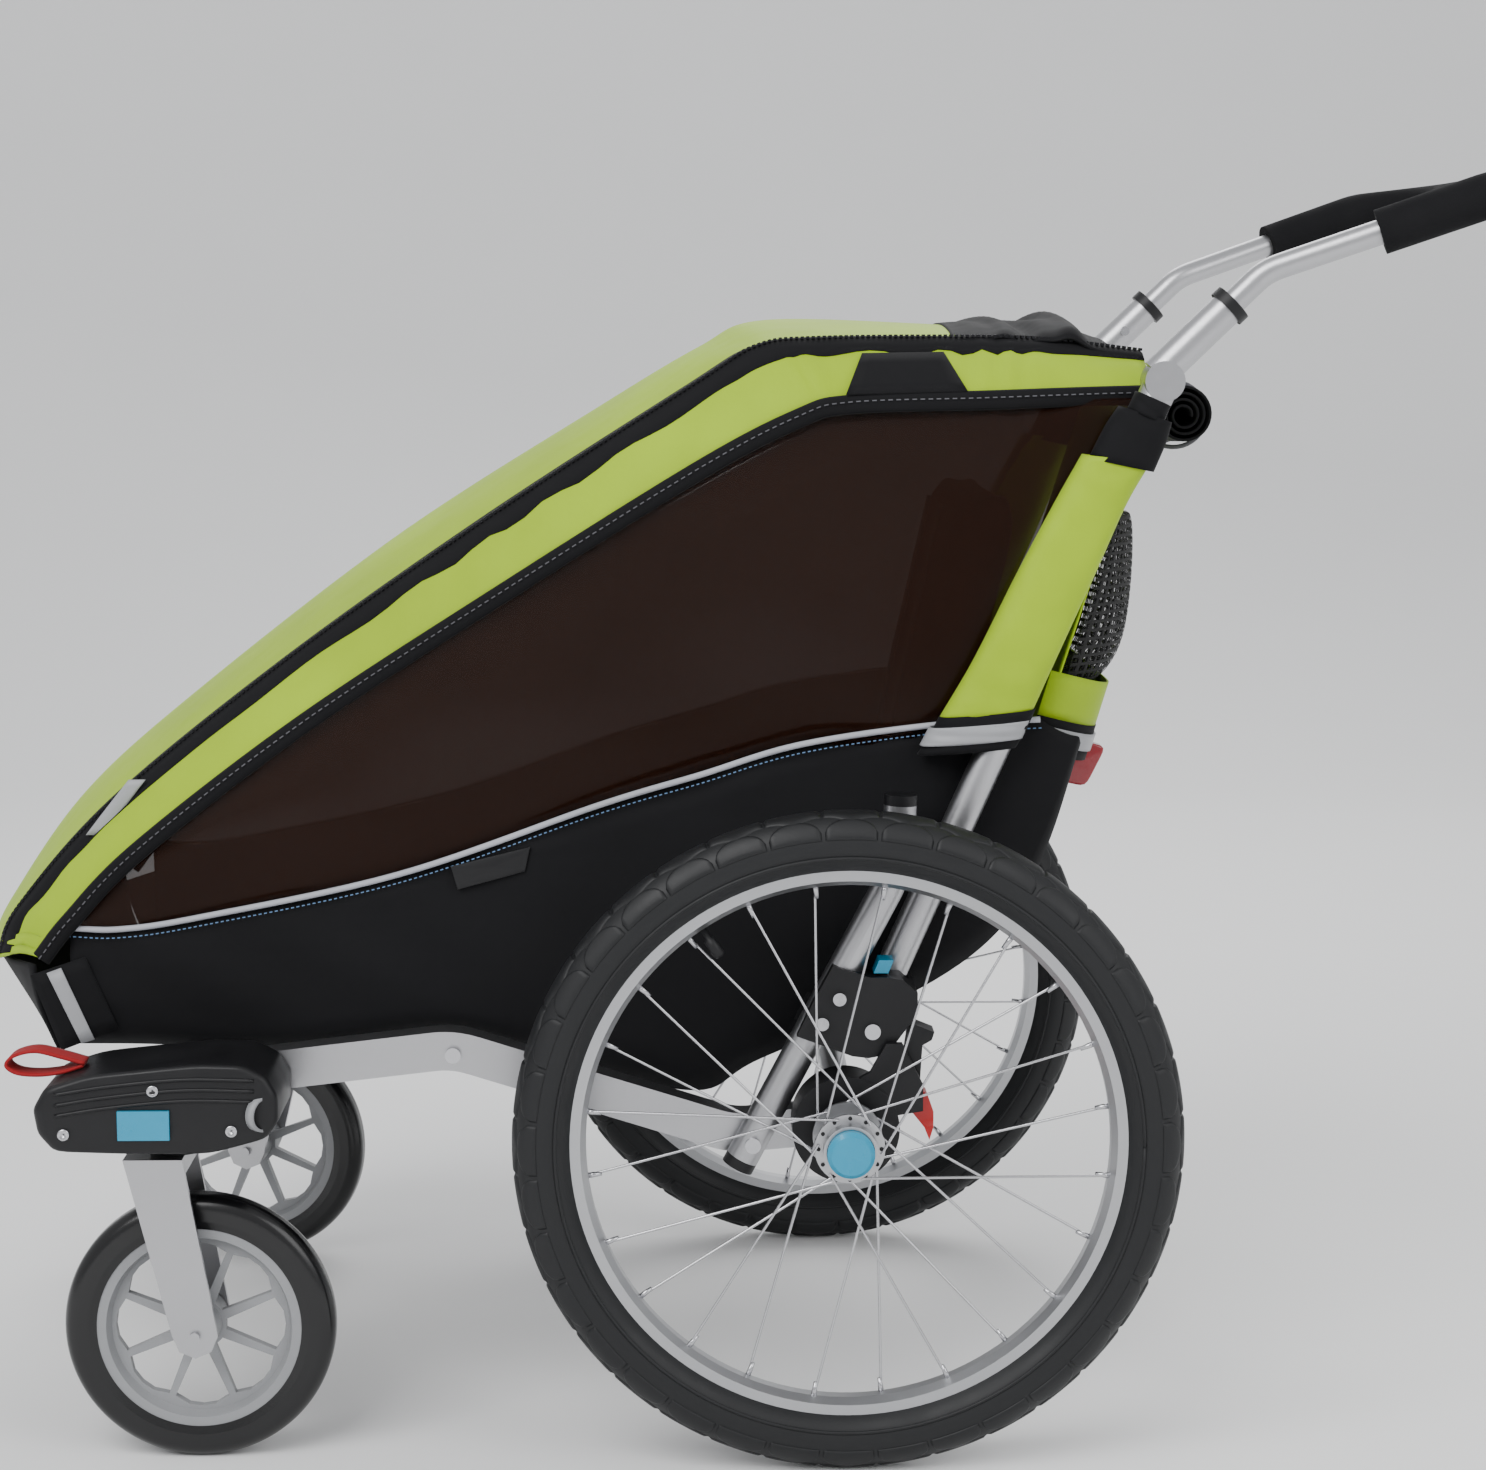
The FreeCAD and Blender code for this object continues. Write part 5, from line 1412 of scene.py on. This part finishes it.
    def nipples(self) -> None:
        """Spoke nipples at the rim, and dark discs round the hub's outer flange, painted as the shade in its holes."""
        low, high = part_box("rim_" + self.side)
        bed = (high.z - low.z) / 2 - 0.018
        steel, black = self.site.look("polished_steel"), self.site.look("black_moulding")
        shape = [(-0.0100, 0.0001), (-0.0100, 0.0015), (-0.003, 0.0021), (0.001, 0.0021), (0.001, 0.0001)]
        for index, flange in enumerate((-1, 1)):
            foot = math.radians(flange * 7.5)
            way = Vector((math.cos(foot), 0, math.sin(foot)))
            block = lathe("nipples_%s_%d" % (self.side, index + 1), shape, way * bed + Vector((0, flange * 0.004, 0)),
                          steel, 12, way)
            fit(self.site.ring.about(block, self.centre, 12, steel), "wheel_" + self.side, folds=False)
        # Flat black discs on the outer flange's face: painted shade standing in for the holes, which are not cut.
        face = 0.0197 * self.sign
        rim = face + 0.0005 * self.sign
        block = lathe("flange_holes_" + self.side, [(face, 0.0001), (face, 0.0015), (rim, 0.0015), (rim, 0.0001)],
                      (0.0232, 0, 0), black, 12)
        fit(self.site.ring.about(block, self.centre, 12, black), "wheel_" + self.side, folds=False)


@dataclass
class Corner:
    """A front corner housing with its ridges and screws."""

    site: Site
    side: str
    sign: int

    def build(self) -> None:
        """Make the rounded shell over its node, and its trims."""
        node, black = "corner_housing_" + self.side, self.site.look("black_moulding")
        low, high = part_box(node)
        outer = low.y if self.sign < 0 else high.y
        shell = pillow("housing_shell_" + self.side, self.site.outline(rounded(HOUSING, 7, 2)), low.y, high.y, 0.006,
                       black)
        fit(shell, Body.CHASSIS.value, node, folds=False)
        trims = []
        for index, rise in enumerate((.035, .043, .051)):
            line = self.site.line([(-.584, rise - .009), (-.545, rise - .003), (-.490, rise + .002),
                                   (-.438, rise + .001)], outer + self.sign * 0.0002, 40)
            trims.append(tube("housing_ridge_%s_%d" % (self.side, index + 1), line, 0.0014, black))
        screw = [(0.0, 0.0001), (0.0, 0.0045), (0.0012, 0.0045), (0.0018, 0.003), (0.0008, 0.002), (0.0008, 0.0001)]
        screw = [(along * self.sign, radius) for along, radius in screw]
        for index, (px, pz) in enumerate(((-.578, .012), (-.512, .0445), (-.455, .014))):
            trims.append(lathe("housing_screw_%s_%d" % (self.side, index + 1), screw,
                               self.site.at(px, outer + self.sign * 0.0003, pz), self.site.look("polished_steel"), 24))
        collar = [(-0.006, 0.0111), (-0.006, 0.0132), (0.001, 0.0132), (0.001, 0.0111)]
        trims.append(lathe("socket_collar_" + self.side, collar, self.site.at(-.4312, self.sign * 0.3026, .026),
                           self.site.look("grey_moulding"), 32, (0.8, 0.6 * self.sign, 0)))
        for piece in trims:
            fit(piece, Body.CHASSIS.value, folds=False)


@dataclass
class Pillar:
    """Cloth sleeves and collars on a roll bar."""

    site: Site
    side: str
    sign: int
    across: float = 0.2042
    depth: float = 0.0140

    def build(self) -> None:
        """Make the lime sleeve, the collar and tie above it and the bands at its foot."""
        lime = [(.072, .142, .305, .311), (.098, .160, .350, .352), (.130, .188, .415, .415), (.157, .210, .467, .466),
                (.178, .229, .505, .500)]
        collar = [(.184, .230, .502, .492), (.196, .239, .526, .514), (.206, .243, .541, .529)]
        edging = [(.057, .129, .278, .284), (.066, .137, .292, .298), (.0735, .1435, .307, .313)]
        strip = [(.060, .1325, .285, .291), (.0672, .1385, .299, .305)]
        tie = [(.2130, .2355, .539, .528), (.2190, .2415, .552, .541)]
        self.sleeve("pillar_cloth_", lime, "lime_cloth", 0.0, "pillar_sleeves")
        self.sleeve("pillar_collar_", collar, "black_cloth", 0.0009)
        self.sleeve("pillar_edging_", edging, "black_cloth", 0.0010)
        self.sleeve("pillar_reflective_strip_", strip, "reflective_band", 0.0022)
        self.sleeve("canopy_tie_", tie, "black_cloth", 0.0012)

    def sleeve(self, name: str, cuts: Sequence[tuple[float, float, float, float]], finish: str, proud: float,
               node: str = "") -> None:
        """A flat oval sleeve of cloth round the roll bar.

        Args:
            name: the piece's name without its side.
            cuts: front x, rear x, front z and rear z of each cut, from the bottom up.
            finish: its cloth.
            proud: how far it stands out of the sleeve under it.
            node: the node that the left one stands for, or nothing.
        """
        count, sides = 36 if len(cuts) > 3 else 10, 40
        path = smooth_path(cuts, count) if len(cuts) > 2 else np.linspace(cuts[0], cuts[-1], count)
        rings = []
        for i, (front, rear, low, high) in enumerate(path):
            reach, wave = (rear - front) / 2 + proud, 0.0009 * math.sin(i * 0.9)
            for a in np.linspace(0, FULL_TURN, sides, endpoint=False):
                c, w = math.cos(a), math.sin(a)
                wide = math.copysign(abs(c) ** 0.75, c)
                deep = math.copysign(abs(w) ** 0.8, w) * (self.depth + proud + wave * math.sin(3 * a + i * 0.4))
                rings.append(self.site.at((front + rear) / 2 + wide * reach, self.sign * self.across + deep,
                                          (low + high) / 2 + wide * (high - low) / 2))
        item = make_mesh(name + self.side, rings, grid_faces(count, sides, loop_cols=True), self.site.look(finish))
        area = sum(face.area for face in item.data.polygons)
        length = float(np.linalg.norm(path[-1][[0, 2]] - path[0][[0, 2]]))
        cut = Cut(area / length * 1.05, length * 1.05, area, "stretched", ["roll_bar_" + self.side])
        fit(thicken(item, 0.0012), Body.UPPER.value, node if self.sign < 0 else "", cut, folds=False)


@dataclass
class Studio:
    """Floor, lights and camera."""

    axle: Vector
    lens: float = 74.6
    tilt: float = 0.1361
    yaw: float = 0.0198

    def build(self) -> None:
        """Set the pale floor, the soft lights and the camera."""
        ground = Graph("studio_floor")
        ground.tint(ground.noise(2.0), (0.86, 0.86, 0.86), 1.0, 0.90 / 0.86)
        ground.set(Roughness=0.6)
        bend = [(3.0 + 2.5 * math.sin(t), 2.5 - 2.5 * math.cos(t)) for t in spread(14, 0.1, math.pi / 2)]
        grid = skin([(-9.0, 0.0), (3.0, 0.0), *bend, (5.5, 7.0)], (-9.0, 9.0), lambda spot, px: (px, *spot))
        make_mesh("studio_floor", grid.reshape(-1, 3), grid_faces(len(grid), 2), ground.material)
        world = bpy.data.worlds.new("studio_world")
        world.use_nodes = True
        sky = world.node_tree.nodes["Background"].inputs
        sky[0].default_value, sky[1].default_value = (0.93, 0.94, 0.96, 1), 0.80
        bpy.context.scene.world = world
        for name, spot, size, power in (("key", (-1.6, -2.4, 3.0), 2.4, 110.0), ("fill", (2.2, -2.2, 2.0), 2.0, 35.0),
                                        ("back", (0.6, 2.6, 2.8), 2.2, 50.0)):
            data = bpy.data.lights.new(name, "AREA")
            data.energy, data.size = power, size
            self.aim(add_object(name, data), spot, Vector((0, 0, 0.4)) - Vector(spot))
        data = bpy.data.cameras.new("camera")
        data.lens, data.sensor_width = self.lens, 36.0
        level = math.cos(self.tilt)
        way = Vector((math.sin(self.yaw) * level, math.cos(self.yaw) * level, -math.sin(self.tilt)))
        bpy.context.scene.camera = self.aim(add_object("camera", data), (self.axle.x - 0.1225, -2.5151, 0.8598), way)

    def aim(self, item: Thing, spot: Point, way: Vector) -> Thing:
        """Place a light or the camera.

        Args:
            item: the light or camera.
            spot: where it stands.
            way: where it looks.

        Returns:
            The same object.
        """
        item.location = spot
        item.rotation_euler = way.to_track_quat("-Z", "Y").to_euler()
        return item


def main() -> None:
    """Build every sub-assembly in order."""
    logging.basicConfig(level=logging.INFO, format="%(message)s")
    palette = Palette()
    site = Site(palette, PathRepeat(), RingRepeat())
    Studio(site.axle).build()
    palette.dress_frame()
    steps: list[tuple[str, Callable[[], None]]] = [("canopy", Canopy(site).build), ("cabin", Cabin(site).build)]
    for side, sign in SIDES:
        steps += [(name + side, kind(site, side, sign).build)
                  for name, kind in (("rear wheel ", Wheel), ("corner ", Corner), ("pillar ", Pillar))]
    for name, build in steps:
        build()
        LOG.info("built %s", name)


if __name__ == "__main__":
    main()
